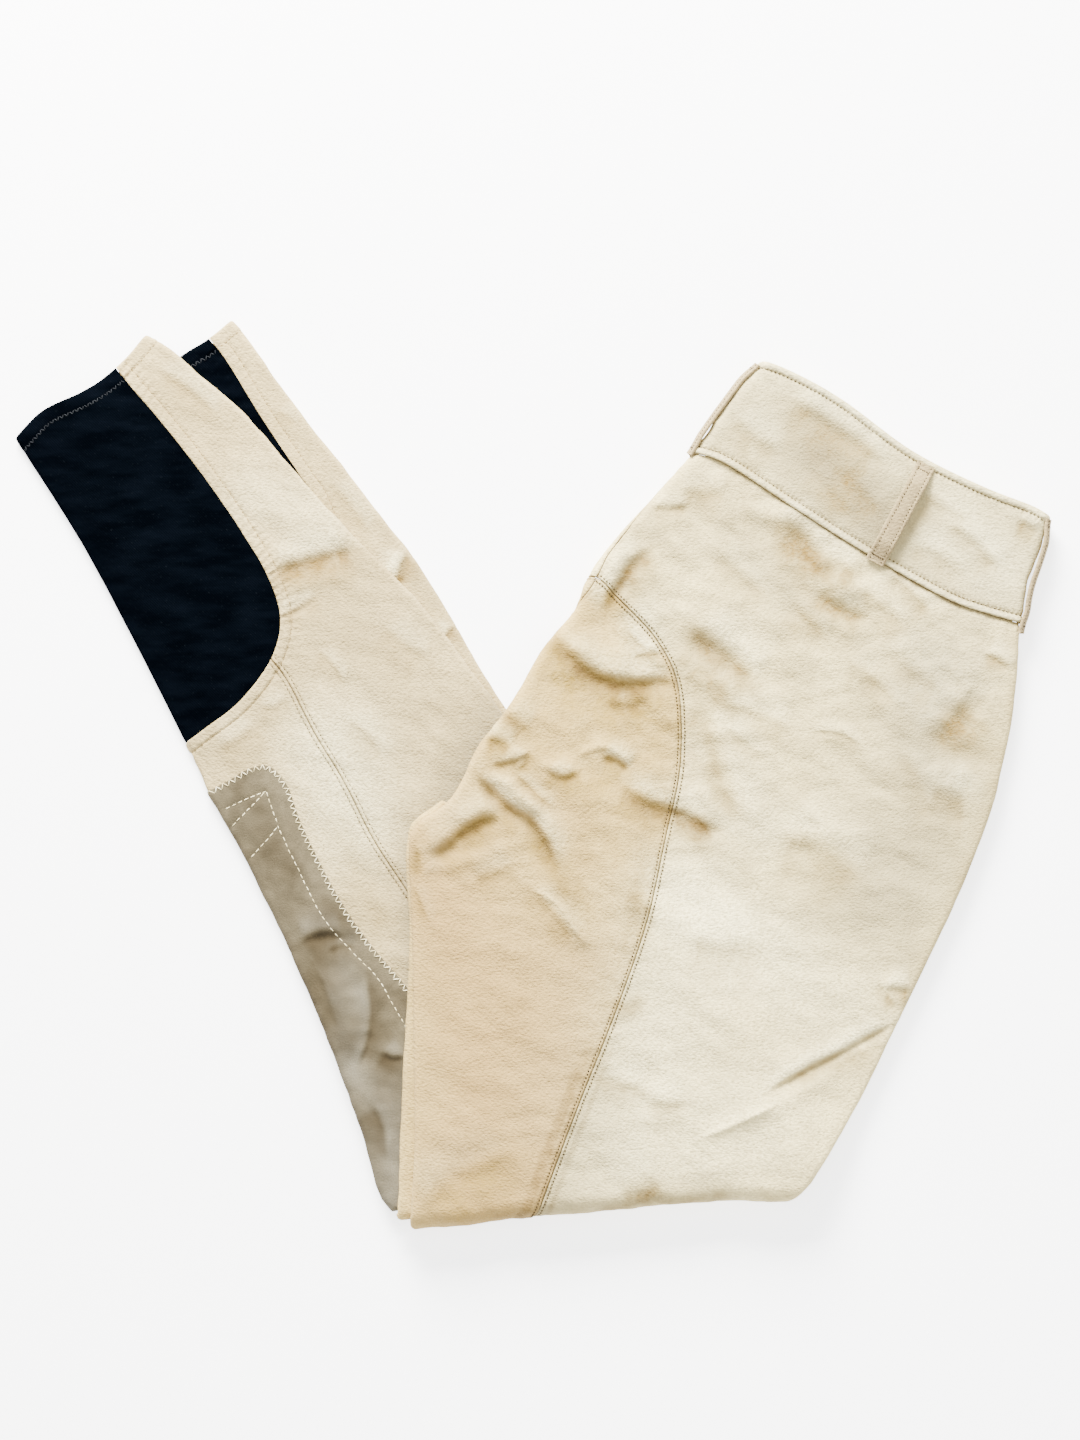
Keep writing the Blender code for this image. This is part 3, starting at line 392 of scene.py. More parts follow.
@dataclass
class Pile:
    """The folded pile: its outlines, and what lifts each layer. All in mm.

    Attributes:
        thigh_tube: One thigh laid flat.
        shin_tube: One lower leg laid flat.
        seam_gap: The gap between two layers that touch.
        suede: Thickness of a knee patch.
        thigh_ramp: How far from a lower leg the thighs come down to the floor.
        shin_ramp: The same for one lower leg on the other.
        level: How far past a lower leg the cloth above it stays level.
        line_step: How finely the outlines are drawn.
    """

    thigh_tube: float = 5.5
    shin_tube: float = 5.0
    seam_gap: float = 0.3
    suede: float = 1.1
    thigh_ramp: float = 60.0
    shin_ramp: float = 40.0
    level: float = 4.0
    side_fold: Route = ((277, 138), (270.8, 117.5), (265.1, 100.4), (262.4, 82), (260.7, 50.8),
                        (256.1, 18.4), (245.2, -24.8), (227.2, -70), (197.1, -132.8), (176, -176),
                        (153.9, -212.8), (142.5, -229.5))
    inseam_fold: Route = ((-65.5, -262), (-67, -240), (-64.8, -204.4), (-65.3, -154.8), (-66.4, -80.5),
                          (-68.2, -44), (-67, -32), (-61, -24.5), (-52.5, -19.5), (-45, -13), (-40, -4))
    seat_fold: Route = ((-30.5, 15.5), (-18.9, 29.7), (-8.1, 46.4), (2.7, 65.9), (21.6, 89.6), (28.6, 106.4),
                        (45.9, 130.1), (62.1, 148), (85.5, 174), (99.9, 193.9), (116.6, 216), (122.6, 222.5))
    knee_fold: Route = ((142.5, -231.3), (122.6, -231.1), (80.5, -232), (41.9, -235.4), (-7.7, -239.8),
                        (-66.6, -246.2))
    far_thigh_fold: Route = ((-74, -236.5), (-72.6, -192), (-71, -154.8), (-68.5, -111.2), (-67.8, -80),
                             (-69.5, -42), (-66.5, -26.5), (-55, -17.5), (-46, -10.5), (-40.5, -1.5))
    left_cuff: Route = ((-281.9, 182), (-267.3, 196.6), (-245.7, 206.8), (-234.9, 213.3), (-221.4, 225.2),
                        (-211.5, 237))
    left_front_edge: Route = ((-209.5, 236.6), (-202.5, 232.7), (-191.5, 224.5), (-180.9, 214.9),
                              (-163.1, 200.3), (-137.7, 172.8), (-105.3, 136.6), (-62.1, 91.8),
                              (-29.7, 49.7), (-17.3, 32.4), (40, -60), (132, -216))
    left_back_edge: Route = ((-58, -233), (-70, -233.8), (-77, -235.5), (-82, -229.5), (-91.8, -196),
                             (-103.1, -164.7), (-121.5, -118.3), (-155, -47.5), (-176.6, -9.2),
                             (-197.1, 31.9), (-217.1, 71.3), (-245.7, 124.7), (-281.9, 182))
    right_cuff: Route = ((-233, 187), (-214, 205), (-192.8, 225.7), (-176.6, 236), (-165.5, 245.2))
    right_front_edge: Route = ((-163, 244.6), (-159.3, 240.8), (-148.5, 225.2), (-126.9, 195.5),
                               (-94.5, 153.9), (-62.1, 111.8), (-29.7, 57.2), (-15.1, 34.6), (45, -60),
                               (136, -216))
    right_back_edge: Route = ((-58, -234), (-74, -210), (-84, -160), (-100, -100), (-120, -45), (-143, 5),
                              (-190, 105), (-233, 187))
    line_step: float = 6.0

    def __post_init__(self) -> None:
        """Draw the edges' lines."""

        def drawn(route: Route, before: float = 30.0, after: float = 0.0) -> Line:
            return Line(run_on(smooth_line(route, self.line_step), before, after))

        self.side = drawn(self.side_fold, after=60.0)
        self.back = drawn(self.inseam_fold + self.seat_fold, before=60.0, after=30.0)
        self.knee = drawn(self.knee_fold, before=40.0, after=40.0)
        self.far_thigh = drawn(self.far_thigh_fold, before=50.0, after=12.0)
        self.left_front = drawn(self.left_front_edge)
        self.left_back = drawn(self.left_back_edge, after=30.0)
        self.right_front = drawn(self.right_front_edge)
        self.left_shin = self._leg(self.left_cuff, self.left_front_edge, self.left_back_edge)
        self.right_shin = self._leg(self.right_cuff, self.right_front_edge, self.right_back_edge)

    def _leg(self, cuff: Route, front: Route, back: Route) -> Array:
        """Close a lower leg's outline."""
        return np.vstack([smooth_line(cuff, 8.0)[:-1], smooth_line(front, 8.0), smooth_line(back, 8.0)[:-1]])

    @property
    def right_lift(self) -> float:
        """How far the right lower leg lifts the cloth above it."""
        return self.shin_tube + self.seam_gap

    @property
    def left_lift(self) -> float:
        """How far the left lower leg and its knee patch lift the cloth above them."""
        return self.shin_tube + self.suede + 2 * self.seam_gap

    @property
    def knee_radius(self) -> float:
        """Radius of the roll in which the thighs go down round the lower legs."""
        return (self.right_lift + self.left_lift + 2 * self.thigh_tube - 1.0) / 2

    def shin_base(self, plan: Array) -> Array:
        """Give the height that the left lower leg lies at."""
        near = depth_inside(plan, self.right_shin) + self.level
        return self.right_lift * eased(1 + near / self.shin_ramp)

    def thigh_base(self, plan: Array) -> Array:
        """Give the height that the thighs lie at, on both lower legs."""
        on_right = depth_inside(plan, self.right_shin) + self.level
        on_left = depth_inside(plan, self.left_shin) + self.level
        return (self.right_lift * eased(1 + on_right / self.thigh_ramp)
                + self.left_lift * eased(1 + on_left / self.thigh_ramp))


class Cloth:
    """One laid cloth: its turned edges, the knee that it may roll over, and the height of its upper face."""

    TURN_END = math.radians(150)
    TURN_ROWS = 8
    KNEE_ROWS = 22

    def __init__(self, top: Height, edges: list[Line], turns: float | Sequence[tuple[float, float, float]],
                 knee: Line | None = None, knee_radius: float = 1.0, knee_end: float = 0.0) -> None:
        """Set up the cloth.

        Args:
            top: Gives the height of its upper face.
            edges: The edges that it is turned over.
            turns: Radius of the turns, or rows of x, y and radius along the edges.
            knee: The line where it rolls down.
            knee_radius: Radius of that roll.
            knee_end: How far it rolls, in radians.
        """
        self.top = top
        self.edges = edges
        self.turns = turns
        self.knee = knee
        self.knee_radius = knee_radius
        self.knee_end = knee_end

    def radius(self, edge: Line, place: Array) -> Array:
        """Give the radius of the turn at places along an edge."""
        if isinstance(self.turns, float):
            return np.full(np.shape(place), self.turns)
        table = np.asarray(self.turns, float)
        stations, gap, _ = edge.nearest(table[:, :2])
        near = np.abs(gap) < 12.0
        order = np.argsort(stations[near])
        return np.interp(place, stations[near][order], table[near, 2][order])

    def beyond(self, plan: Array) -> tuple[Array, Array, Array]:
        """Find how far past the start of a turn each pattern point lies.

        Args:
            plan: The pattern points.

        Returns:
            The way past the start, below 0 on the flat, the turn's radius and its outward normal.
        """
        best = np.full(len(plan), -np.inf)
        radius = np.ones(len(plan))
        normal = np.zeros((len(plan), 2))
        for edge in self.edges:
            place, gap, out = edge.nearest(plan)
            turn = self.radius(edge, place)
            further = gap + turn > best
            best = np.where(further, gap + turn, best)
            radius = np.where(further, turn, radius)
            normal = np.where(further[:, None], out, normal)
        return best, radius, normal

    def place(self, plan: Array, depth: Array | float) -> Array:
        """Lay pattern points in space.

        Args:
            plan: The pattern points.
            depth: How far below the cloth's upper face they lie, below 0 above it.

        Returns:
            Their places in space, in mm.
        """
        past, radius, normal = self.beyond(plan)
        past = np.maximum(past, 0.0)
        angle = past / radius
        flat = plan + normal * ((radius - depth) * np.sin(angle) - past)[:, None]
        fall = radius - (radius - depth) * np.cos(angle)
        if self.knee is None:
            start = plan - normal * past[:, None]
            return np.column_stack([flat, self.top(start) - fall])
        _, gap, ahead = self.knee.nearest(flat)
        past = np.maximum(gap + self.knee_radius, 0.0)
        angle = past / self.knee_radius
        inner = self.knee_radius - fall
        start = flat - ahead * past[:, None]
        rolled = start + ahead * (inner * np.sin(angle))[:, None]
        height = np.where(past > 0, self.knee_radius - inner * np.cos(angle), fall)
        return np.column_stack([rolled, self.top(start) - height])

    def turn_lines(self, step: float) -> tuple[Array, list[Line]]:
        """Draw the pattern's lines along each turned edge and the knee.

        Args:
            step: How far apart the lines' points lie.

        Returns:
            Points on the turns, and the lines where the turns end.
        """
        rows = []
        ends = []
        for edge in self.edges:
            radius = self.radius(edge, edge.places)
            shares = [self.TURN_END * k / self.TURN_ROWS for k in range(self.TURN_ROWS + 1)]
            turned = [edge.offset(radius * (share - 1)) for share in shares]
            rows += turned[:-1]
            ends.append(turned[-1])
        if self.knee is not None:
            shares = [self.knee_end * k / self.KNEE_ROWS for k in range(self.KNEE_ROWS + 1)]
            rolled = [self.knee.offset(self.knee_radius * (share - 1)) for share in shares]
            rows += rolled[:-1]
            ends.append(rolled[-1])
        fine = [Line(row).thinned(step).points for row in rows]
        return np.vstack(fine), [Line(end).thinned(step) for end in ends]

    def near_flat(self, plan: Array, share: float = 1.5) -> Array:
        """Tell which pattern points are turned down by less than a share of a radian."""
        past, radius, _ = self.beyond(plan)
        return past < share * radius

    def holds(self, plan: Array) -> Array:
        """Tell whether each pattern point lies within the turned edges and the knee's end."""
        past, radius, _ = self.beyond(plan)
        found = past < radius * self.TURN_END
        if self.knee is not None:
            found &= self.knee.outside(plan) < self.knee_radius * (self.knee_end - 1)
        return found


# ---------------------------------------------------------------- patterns


@dataclass
class Pattern:
    """A flat pattern.

    Attributes:
        plan: Its points.
        faces: Its triangles.
    """

    plan: Array
    faces: Array

    def middles(self) -> Array:
        """Give the middle of each triangle."""
        return self.plan[self.faces].mean(axis=1)

    def cut(self, chosen: Array) -> "Pattern":
        """Keep only the chosen triangles and their points."""
        used, index = np.unique(self.faces[chosen], return_inverse=True)
        return Pattern(self.plan[used], index.reshape(-1, 3))

    def spans(self) -> Array:
        """Measure twice each triangle's area, in square mm, below 0 where it is turned over."""
        a, b, c = (self.plan[self.faces[:, k]] for k in range(3))
        return (b[:, 0] - a[:, 0]) * (c[:, 1] - a[:, 1]) - (b[:, 1] - a[:, 1]) * (c[:, 0] - a[:, 0])

    def area(self) -> float:
        """Measure the pattern's area, in square mm."""
        return float(np.abs(self.spans()).sum() / 2)

    def extent(self) -> tuple[float, float]:
        """Measure the smallest upright or turned rectangle that the pattern fits in, in mm."""
        best = (math.inf, 1.0, 1.0)
        for turn in np.radians(np.arange(0, 90, 5)):
            way = np.array([[math.cos(turn), -math.sin(turn)], [math.sin(turn), math.cos(turn)]])
            width, length = np.ptp(self.plan @ way, axis=0)
            best = min(best, (width * length, width, length))
        return best[1], best[2]


def cut_line(points: Route, step: float, before: float = 0.0, after: float = 0.0) -> Line:
    """Draw a seam or a cut edge through points and straight on past its ends."""
    return Line(run_on(smooth_line(points, 2.0), before, after)).thinned(step)


def grid_in(low: Point, high: Point, step: float) -> Array:
    """Give staggered rows of plan points in a box."""
    rise = step * math.sqrt(3) / 2
    rows = []
    for row in range(int((high[1] - low[1]) / rise) + 1):
        x = np.arange(low[0] + (row % 2) * step / 2, high[0], step)
        rows.append(np.column_stack([x, np.full(len(x), low[1] + row * rise)]))
    return np.vstack(rows)


def spaced(layers: Sequence[tuple[Array, float]]) -> Array:
    """Join sets of points, each kept clear of the sets before it.

    Args:
        layers: Points and how far clear of the earlier ones, and of each other, they stay.

    Returns:
        The points that were kept, without the first set.
    """
    kept = layers[0][0]
    first = len(kept)
    for points, clear in layers[1:]:
        _, single = np.unique(np.round(points / (0.7 * clear)), axis=0, return_index=True)
        points = points[np.sort(single)]
        tree = KDTree(len(kept))
        for i, (x, y) in enumerate(kept.tolist()):
            tree.insert((x, y, 0.0), i)
        tree.balance()
        far = [tree.find((x, y, 0.0))[2] > clear for x, y in points.tolist()]
        kept = np.vstack([kept, points[np.array(far, bool)]])
    return kept[first:]


def drafted(cloth: Cloth, cuts: list[Line], ends: list[Line], bends: list[Array], step: float, low: Point,
            high: Point) -> Pattern:
    """Draft a cloth's pattern as fine triangles.

    Args:
        cloth: The cloth, for its turned edges.
        cuts: The seams that it is cut along.
        ends: The lines that it ends at.
        bends: Sets of points where it bends most.
        step: How far apart the points lie elsewhere.
        low: The lowest x and y of the pattern.
        high: The highest x and y of the pattern.

    Returns:
        The pattern within the cloth's edges and ends.
    """
    turned, turned_ends = cloth.turn_lines(step)
    lines = cuts + ends + turned_ends
    points = np.vstack([line.points for line in lines])
    edges = []
    first = 0
    for line in lines:
        edges += [(i, i + 1) for i in range(first, first + len(line.points) - 1)]
        first += len(line.points)
    bends = [spread for spread in bends if len(spread)]
    layers = [(points, 0.0)] + [(spread, 0.4 * step) for spread in bends + [turned]]
    loose = spaced(layers + [(grid_in(low, high, step), 0.75 * step)])
    within = ((loose > np.array(low) - 1) & (loose < np.array(high) + 1)).all(axis=1)
    given = [Vector(p) for p in np.vstack([points, loose[within]]).tolist()]
    plan, _, faces, *_ = delaunay_2d_cdt(given, edges, [], 0, 1e-4)
    pattern = Pattern(np.array([tuple(p) for p in plan]), np.array(faces))
    spans = pattern.spans()
    turned_round = np.where((spans < 0)[:, None], pattern.faces[:, ::-1], pattern.faces)
    pattern = Pattern(pattern.plan, turned_round[np.abs(spans) > 1e-4])
    middles = pattern.middles()
    kept = cloth.holds(middles)
    for end in ends:
        kept &= end.outside(middles) < 0
    return pattern.cut(kept)


# ---------------------------------------------------------------- seams


@dataclass
class Seam:
    """A sewn line of the pattern, with the way the cloth lies beside it. Sizes in mm.

    Attributes:
        line: Where the two cloths join.
        rows: How far to each side its stitch rows lie, outside the line above 0.
        notch: Depth of the groove at the join.
        puff: How far the cloth stands up between the join and its rows.
        allowances: How far out each edge of the turned-in cloth beneath shows, above 0 outside the line, and
            how far that cloth lifts the panel.
        allowances_below: The y under which they show.
        pucker: Height of the short waves across the seam.
        pitch: Length of those waves.
        row_dip: How far each stitch row sinks in.
        row_width: Half the width of that dip.
        dark: How dark the painted shade in the join is.
        row_dark: How dark the painted shade at each row's stitch holes is.
        soft_step: How coarsely its form's line is drawn.

    NOTCH_WIDTH is half the groove's width, PUFF_EASE the way in which the puffed cloth rises, LEAST_REACH how
    far the pucker runs at least, and FADE_IN the way along y in which the allowances start to show.
    """

    line: Line
    rows: tuple[float, ...] = (-1.8, 1.8)
    notch: float = 0.5
    puff: float = 0.3
    allowances: tuple[tuple[float, float], ...] = ()
    allowances_below: float = 0.0
    pucker: float = 0.1
    pitch: float = 8.0
    row_dip: float = 0.3
    row_width: float = 0.6
    dark: float = 0.45
    row_dark: float = 0.3
    soft_step: float = 4.0

    NOTCH_WIDTH: ClassVar[float] = 0.8
    PUFF_EASE: ClassVar[float] = 0.9
    LEAST_REACH: ClassVar[float] = 2.0
    FADE_IN: ClassVar[float] = 60.0

    def __post_init__(self) -> None:
        """Draw the coarser line that its form is worked out from."""
        self.soft = self.line.thinned(self.soft_step)

    def relief(self, plan: Array) -> Array:
        """Give the height that the seam adds to each plan point."""
        added = np.zeros(len(plan))
        reach = max(self.LEAST_REACH, *map(abs, self.rows), *(abs(span) for span, _ in self.allowances))
        near = self.line.reached(plan, 3 * reach + 4)
        if not len(near):
            return added
        place, gap, _ = self.soft.nearest(plan[near])
        wide = np.abs(gap)
        height = -self.notch * bell(gap, self.NOTCH_WIDTH)
        for row in self.rows:
            out = gap * np.sign(row)
            height += self.puff * eased(out / self.PUFF_EASE) * eased((abs(row) - out) / self.PUFF_EASE)
            height -= self.row_dip * bell(gap - row, self.row_width)
        shown = eased((self.allowances_below - plan[near, 1]) / self.FADE_IN)
        for span, rise in self.allowances:
            out = gap * np.sign(span)
            height += rise * shown * eased(out + 0.5) * eased((abs(span) - out) / 1.2)
        wave = 2 * math.pi * place / self.pitch + 1.9 * np.sin(place / 13.7)
        wave += 1.3 * np.sin(place / 31.0 + 1.0)
        strength = 0.55 + 0.45 * np.sin(place / 23.0 + 0.6)
        height += self.pucker * strength * np.sin(wave + 0.35 * gap) * eased((2.2 * reach - wide) / reach)
        added[near] = height
        return added

    def shade(self, plan: Array) -> Array:
        """Give the seam's painted shade at each plan point: in its join, at its rows and along its
        allowances' edges.
        """
        gap = self.soft.outside(plan)
        shown = eased((self.allowances_below - plan[:, 1]) / self.FADE_IN)
        dark = self.dark * (1 + eased((plan[:, 1] - 20.0) / 60.0)) * bell(gap, 0.6)
        for span, rise in self.allowances:
            side = np.sign(span)
            dark += rise * shown * (1.7 * bell(gap - span, 1.1) + 0.4 * eased((abs(span) - gap * side) / 1.5)
                                    * eased(gap * side / 1.5))
        for row in self.rows:
            dark += self.row_dark * bell(gap - row, 0.7)
        return dark

    def bends(self, step: float) -> Array:
        """Give pattern points beside the seam, where the cloth bends most."""
        marks = {0.7, -0.7, 1.6, -1.6}
        for row in self.rows:
            marks |= {row - 0.8, row, row + 0.8, row + 1.8, row - 1.8}
        for span, _ in self.allowances:
            marks |= {span - 0.6, span + 0.6}
        fine = self.line.thinned(step)
        return np.vstack([fine.offset(mark) for mark in sorted(marks) if abs(mark) > 0.4])


# ---------------------------------------------------------------- finishes


class Nodes:
    """A material's nodes, with short calls to add and join them."""

    def __init__(self, name: str, flat: bool = True) -> None:
        """Start a material.

        Args:
            name: Its name.
            flat: Whether it reads the pattern's own flat coordinates, and not the object's.
        """
        self.material = bpy.data.materials.new(name)
        self.material.use_nodes = True
        self.tree = self.material.node_tree
        self.shader = self.tree.nodes["Principled BSDF"]
        if flat:
            self.place = self.add("UVMap", uv_map="pattern").outputs["UV"]
        else:
            self.place = self.add("TexCoord").outputs["Object"]

    def add(self, kind: str, inputs: dict | None = None, **settings: object) -> bpy.types.Node:
        """Add a node.

        Args:
            kind: Its type, without the ShaderNode prefix.
            inputs: A value or another node's output for each of its inputs, by name or number.
            **settings: Values of its own properties.

        Returns:
            The new node.
        """
        node = self.tree.nodes.new("ShaderNode" + kind)
        for name, value in settings.items():
            setattr(node, name, value)
        self.join(node, inputs or {})
        return node

    def join(self, node: bpy.types.Node, inputs: dict) -> None:
        """Give a node's inputs their values, or link outputs to them. A colour gets full cover."""
        for name, value in inputs.items():
            socket = node.inputs[name]
            if isinstance(value, bpy.types.NodeSocket):
                self.tree.links.new(value, socket)
            elif socket.type == "RGBA":
                socket.default_value = (*value, 1.0)
            else:
                socket.default_value = value

    def noise(self, scale: float, detail: float = 2.0, roughness: float = 0.5, distortion: float = 0.0,
              place: bpy.types.NodeSocket | None = None) -> bpy.types.NodeSocket:
        """Add a noise, on the material's own coordinates or on others."""
        inputs = {"Vector": place or self.place, "Scale": scale, "Detail": detail, "Roughness": roughness,
                  "Distortion": distortion}
        return self.add("TexNoise", inputs).outputs["Fac"]

    def slanted(self, degrees: float, stretch: float) -> bpy.types.NodeSocket:
        """Turn the coordinates and stretch them across."""
        inputs = {"Vector": self.place, "Rotation": (0.0, 0.0, math.radians(degrees)),
                  "Scale": (1.0, stretch, 1.0)}
        return self.add("Mapping", inputs).outputs["Vector"]

    def weave(self, scale: float, distortion: float, detail: float) -> bpy.types.NodeSocket:
        """Add slanting bands."""
        inputs = {"Vector": self.place, "Scale": scale, "Distortion": distortion, "Detail": detail}
        return self.add("TexWave", inputs, bands_direction="DIAGONAL").outputs["Fac"]

    def ramp(self, factor: bpy.types.NodeSocket, low: float, high: float, share: float = 1.0
             ) -> bpy.types.NodeSocket:
        """Stretch a range of values to 0 and 1, and multiply them by a share."""
        found = self.add("MapRange", {"Value": factor, "From Min": low, "From Max": high}).outputs["Result"]
        return found if share == 1.0 else self.times(found, share)

    def mix(self, factor: bpy.types.NodeSocket | float, under: object, over: object) -> bpy.types.NodeSocket:
        """Mix two colours."""
        return self.add("Mix", {0: factor, 6: under, 7: over}, data_type="RGBA").outputs[2]

    def times(self, a: object, b: object) -> bpy.types.NodeSocket:
        """Multiply two values."""
        return self.add("Math", {0: a, 1: b}, operation="MULTIPLY").outputs[0]

    def plus(self, a: object, b: object) -> bpy.types.NodeSocket:
        """Add two values."""
        return self.add("Math", {0: a, 1: b}, operation="ADD").outputs[0]

    def mark(self, name: str) -> bpy.types.NodeSocket:
        """Read one of the piece's own attributes."""
        return self.add("Attribute", attribute_name=name).outputs["Fac"]

    def finish(self, colour: bpy.types.NodeSocket, roughness: float, specular: float,
               height: bpy.types.NodeSocket | None = None, distance: float = 0.0, strength: float = 1.0,
               sheen: float = 0.0) -> bpy.types.Material:
        """Complete the surface.

        Args:
            colour: Its colour.
            roughness: Its roughness.
            specular: How strongly it shines.
            height: Its fine form.
            distance: Height of that form, in metres.
            strength: How strongly the form shows.
            sheen: Strength of the soft light along its edges.

        Returns:
            The material.
        """
        self.join(self.shader, {"Base Color": colour, "Roughness": roughness, "Specular IOR Level": specular,
                                "Sheen Weight": sheen})
        if height:
            bump = self.add("Bump", {"Height": height, "Distance": distance, "Strength": strength})
            self.join(self.shader, {"Normal": bump.outputs["Normal"]})
        return self.material


@dataclass(frozen=True)
class TwillCloth:
    """Brushed stretch twill: soft, matt, with a faint slanting grain.

    Attributes:
        name: Name of the finish.
        light: Its colour where it is cleanest.
        dark: Its colour in the darker patches.
        trough: The painted shade that it tends to in folds, seam joins, stitch holes and grooves.
        stain_and_shade: What it tends to where it is stained, and the painted shade below each fold.
        pale: What it tends to where it is paler, and the painted highlight on bulges, ridges and rolled
            edges.
        shade_and_tone: What it tends to in painted shade beside raised layers and on dim parts, and in
            patches of its own tone.
    """

    name: str
    light: Colour
    dark: Colour
    trough: Colour = (0.105, 0.062, 0.014)
    stain_and_shade: Colour = (0.200, 0.122, 0.022)
    pale: Colour = (0.72, 0.64, 0.36)
    shade_and_tone: Colour = (0.17, 0.145, 0.085)

    def material(self) -> bpy.types.Material:
        """Make the material, which also reads the piece's four marks of painted shade, painted highlight and
        stains.
        """
        nodes = Nodes(self.name)
        patches = nodes.noise(24.0, detail=4.0, roughness=0.6)
        speckle = nodes.noise(520.0, roughness=0.6)
        nap = nodes.noise(400.0, roughness=0.6, place=nodes.slanted(28.0, stretch=2.2))
        blots = nodes.noise(85.0, detail=3.0, roughness=0.6, distortion=0.4)
        uneven = nodes.plus(nodes.ramp(blots, 0.32, 0.68, share=0.75), 0.5)
        shade = tuple(0.72 * part for part in self.dark)
        cloth = nodes.mix(nodes.ramp(patches, 0.32, 0.68), self.light, self.dark)
        cloth = nodes.mix(nodes.ramp(blots, 0.45, 0.7, share=0.5), cloth, self.dark)
        # Painted highlight on bulges, ridges and rolled edges, over paler patches of the cloth.
        cloth = nodes.mix(nodes.mark("pale"), cloth, self.pale)
        # Painted shade beside raised layers and on dim parts, over patches of the cloth's own tone.
        cloth = nodes.mix(nodes.mark("shade_and_tone"), cloth, self.shade_and_tone)
        # Stains, and the painted shade below each fold.
        cloth = nodes.mix(nodes.times(nodes.mark("stain_and_shade"), uneven), cloth, self.stain_and_shade)
        cloth = nodes.mix(nodes.ramp(speckle, 0.42, 0.68, share=0.42), cloth, shade)
        cloth = nodes.mix(nodes.ramp(nap, 0.44, 0.66, share=0.42), cloth, shade)
        # Painted shade in the folds' cores, seam joins, stitch holes and grooves.
        deep = nodes.times(nodes.times(nodes.mark("trough"), uneven), 0.9)
        cloth = nodes.mix(deep, cloth, self.trough)
        weave = nodes.times(nodes.weave(230.0, distortion=1.2, detail=1.0), 0.12)
        height = nodes.plus(nodes.plus(weave, nap), speckle)
        nodes.join(nodes.shader, {"Sheen Roughness": 0.6})
        return nodes.finish(cloth, roughness=0.9, specular=0.1, height=height, distance=0.0007, strength=0.8,
                            sheen=0.05)


@dataclass(frozen=True)
class StretchCloth:
    """Smooth dark stretch knit with a faint slanting shine."""

    name: str
    deep: Colour
    lit: Colour
    lint: Colour = (0.004, 0.005, 0.0065)

    def material(self) -> bpy.types.Material:
        """Make the material."""
        nodes = Nodes(self.name)
        streaks = nodes.noise(40.0, detail=4.0, place=nodes.slanted(-42.0, stretch=3.4))
        lint = nodes.noise(700.0)
        cloth = nodes.mix(nodes.ramp(streaks, 0.38, 0.72), self.deep, self.lit)
        cloth = nodes.mix(nodes.ramp(lint, 0.62, 0.8, share=0.5), cloth, self.lint)
        height = nodes.plus(nodes.weave(420.0, distortion=0.6, detail=2.0), lint)
        return nodes.finish(cloth, roughness=0.62, specular=0.0, height=height, distance=0.00012)


@dataclass(frozen=True)
class Suede:
    """Brushed suede, rubbed darker and lighter in patches."""

    name: str
    light: Colour
    dark: Colour
    smudge: Colour
    rubbed: Colour = (0.185, 0.165, 0.118)

    def material(self) -> bpy.types.Material:
        """Make the material, which also reads three of the piece's marks."""
        nodes = Nodes(self.name)
        patches = nodes.noise(55.0, detail=5.0, roughness=0.62, distortion=0.6)
        smudges = nodes.noise(23.0, detail=3.0, roughness=0.55)
        pile = nodes.noise(900.0, detail=3.0, roughness=0.7)
        hide = nodes.mix(nodes.ramp(patches, 0.38, 0.62), self.light, self.dark)
        # Worn pale patches, and the painted highlight on the creases' bulges.
        hide = nodes.mix(nodes.times(nodes.mark("pale"), 0.8), hide, self.rubbed)
        hide = nodes.mix(nodes.ramp(smudges, 0.44, 0.66, share=0.7), hide, self.smudge)
        hide = nodes.mix(nodes.ramp(pile, 0.42, 0.75, share=0.5), hide, self.dark)
        # Painted shade in the creases' cores.
        hide = nodes.mix(nodes.times(nodes.mark("trough"), 0.75), hide, self.smudge)
        # Dark spots, and painted shade in and below the creases.
        hide = nodes.mix(nodes.mark("stain_and_shade"), hide, self.smudge)
        return nodes.finish(hide, roughness=0.95, specular=0.05, height=nodes.plus(pile, patches),
                            distance=0.0003, sheen=0.02)


@dataclass(frozen=True)
class Thread:
    """Sewing thread, a little uneven in colour along its length."""

    name: str
    light: Colour
    dark: Colour

    def material(self) -> bpy.types.Material:
        """Make the material."""
        nodes = Nodes(self.name, flat=False)
        colour = nodes.mix(nodes.ramp(nodes.noise(160.0), 0.35, 0.65), self.light, self.dark)
        twist = nodes.noise(2600.0, detail=1.0)
        return nodes.finish(colour, roughness=0.7, specular=0.1, height=twist, distance=0.0001)


@dataclass(frozen=True)
class Paper:
    """The pale paper that the pile lies on, lit a little from below."""

    name: str
    colour: Colour
    glow: float = 2.6

    def material(self) -> bpy.types.Material:
        """Make the material."""
        nodes = Nodes(self.name, flat=False)
        tooth = tuple(0.985 * part for part in self.colour)
        colour = nodes.mix(nodes.ramp(nodes.noise(300.0), 0.2, 0.8), self.colour, tooth)
        nodes.join(nodes.shader, {"Emission Color": colour, "Emission Strength": self.glow})
        return nodes.finish(colour, roughness=0.9, specular=0.5)


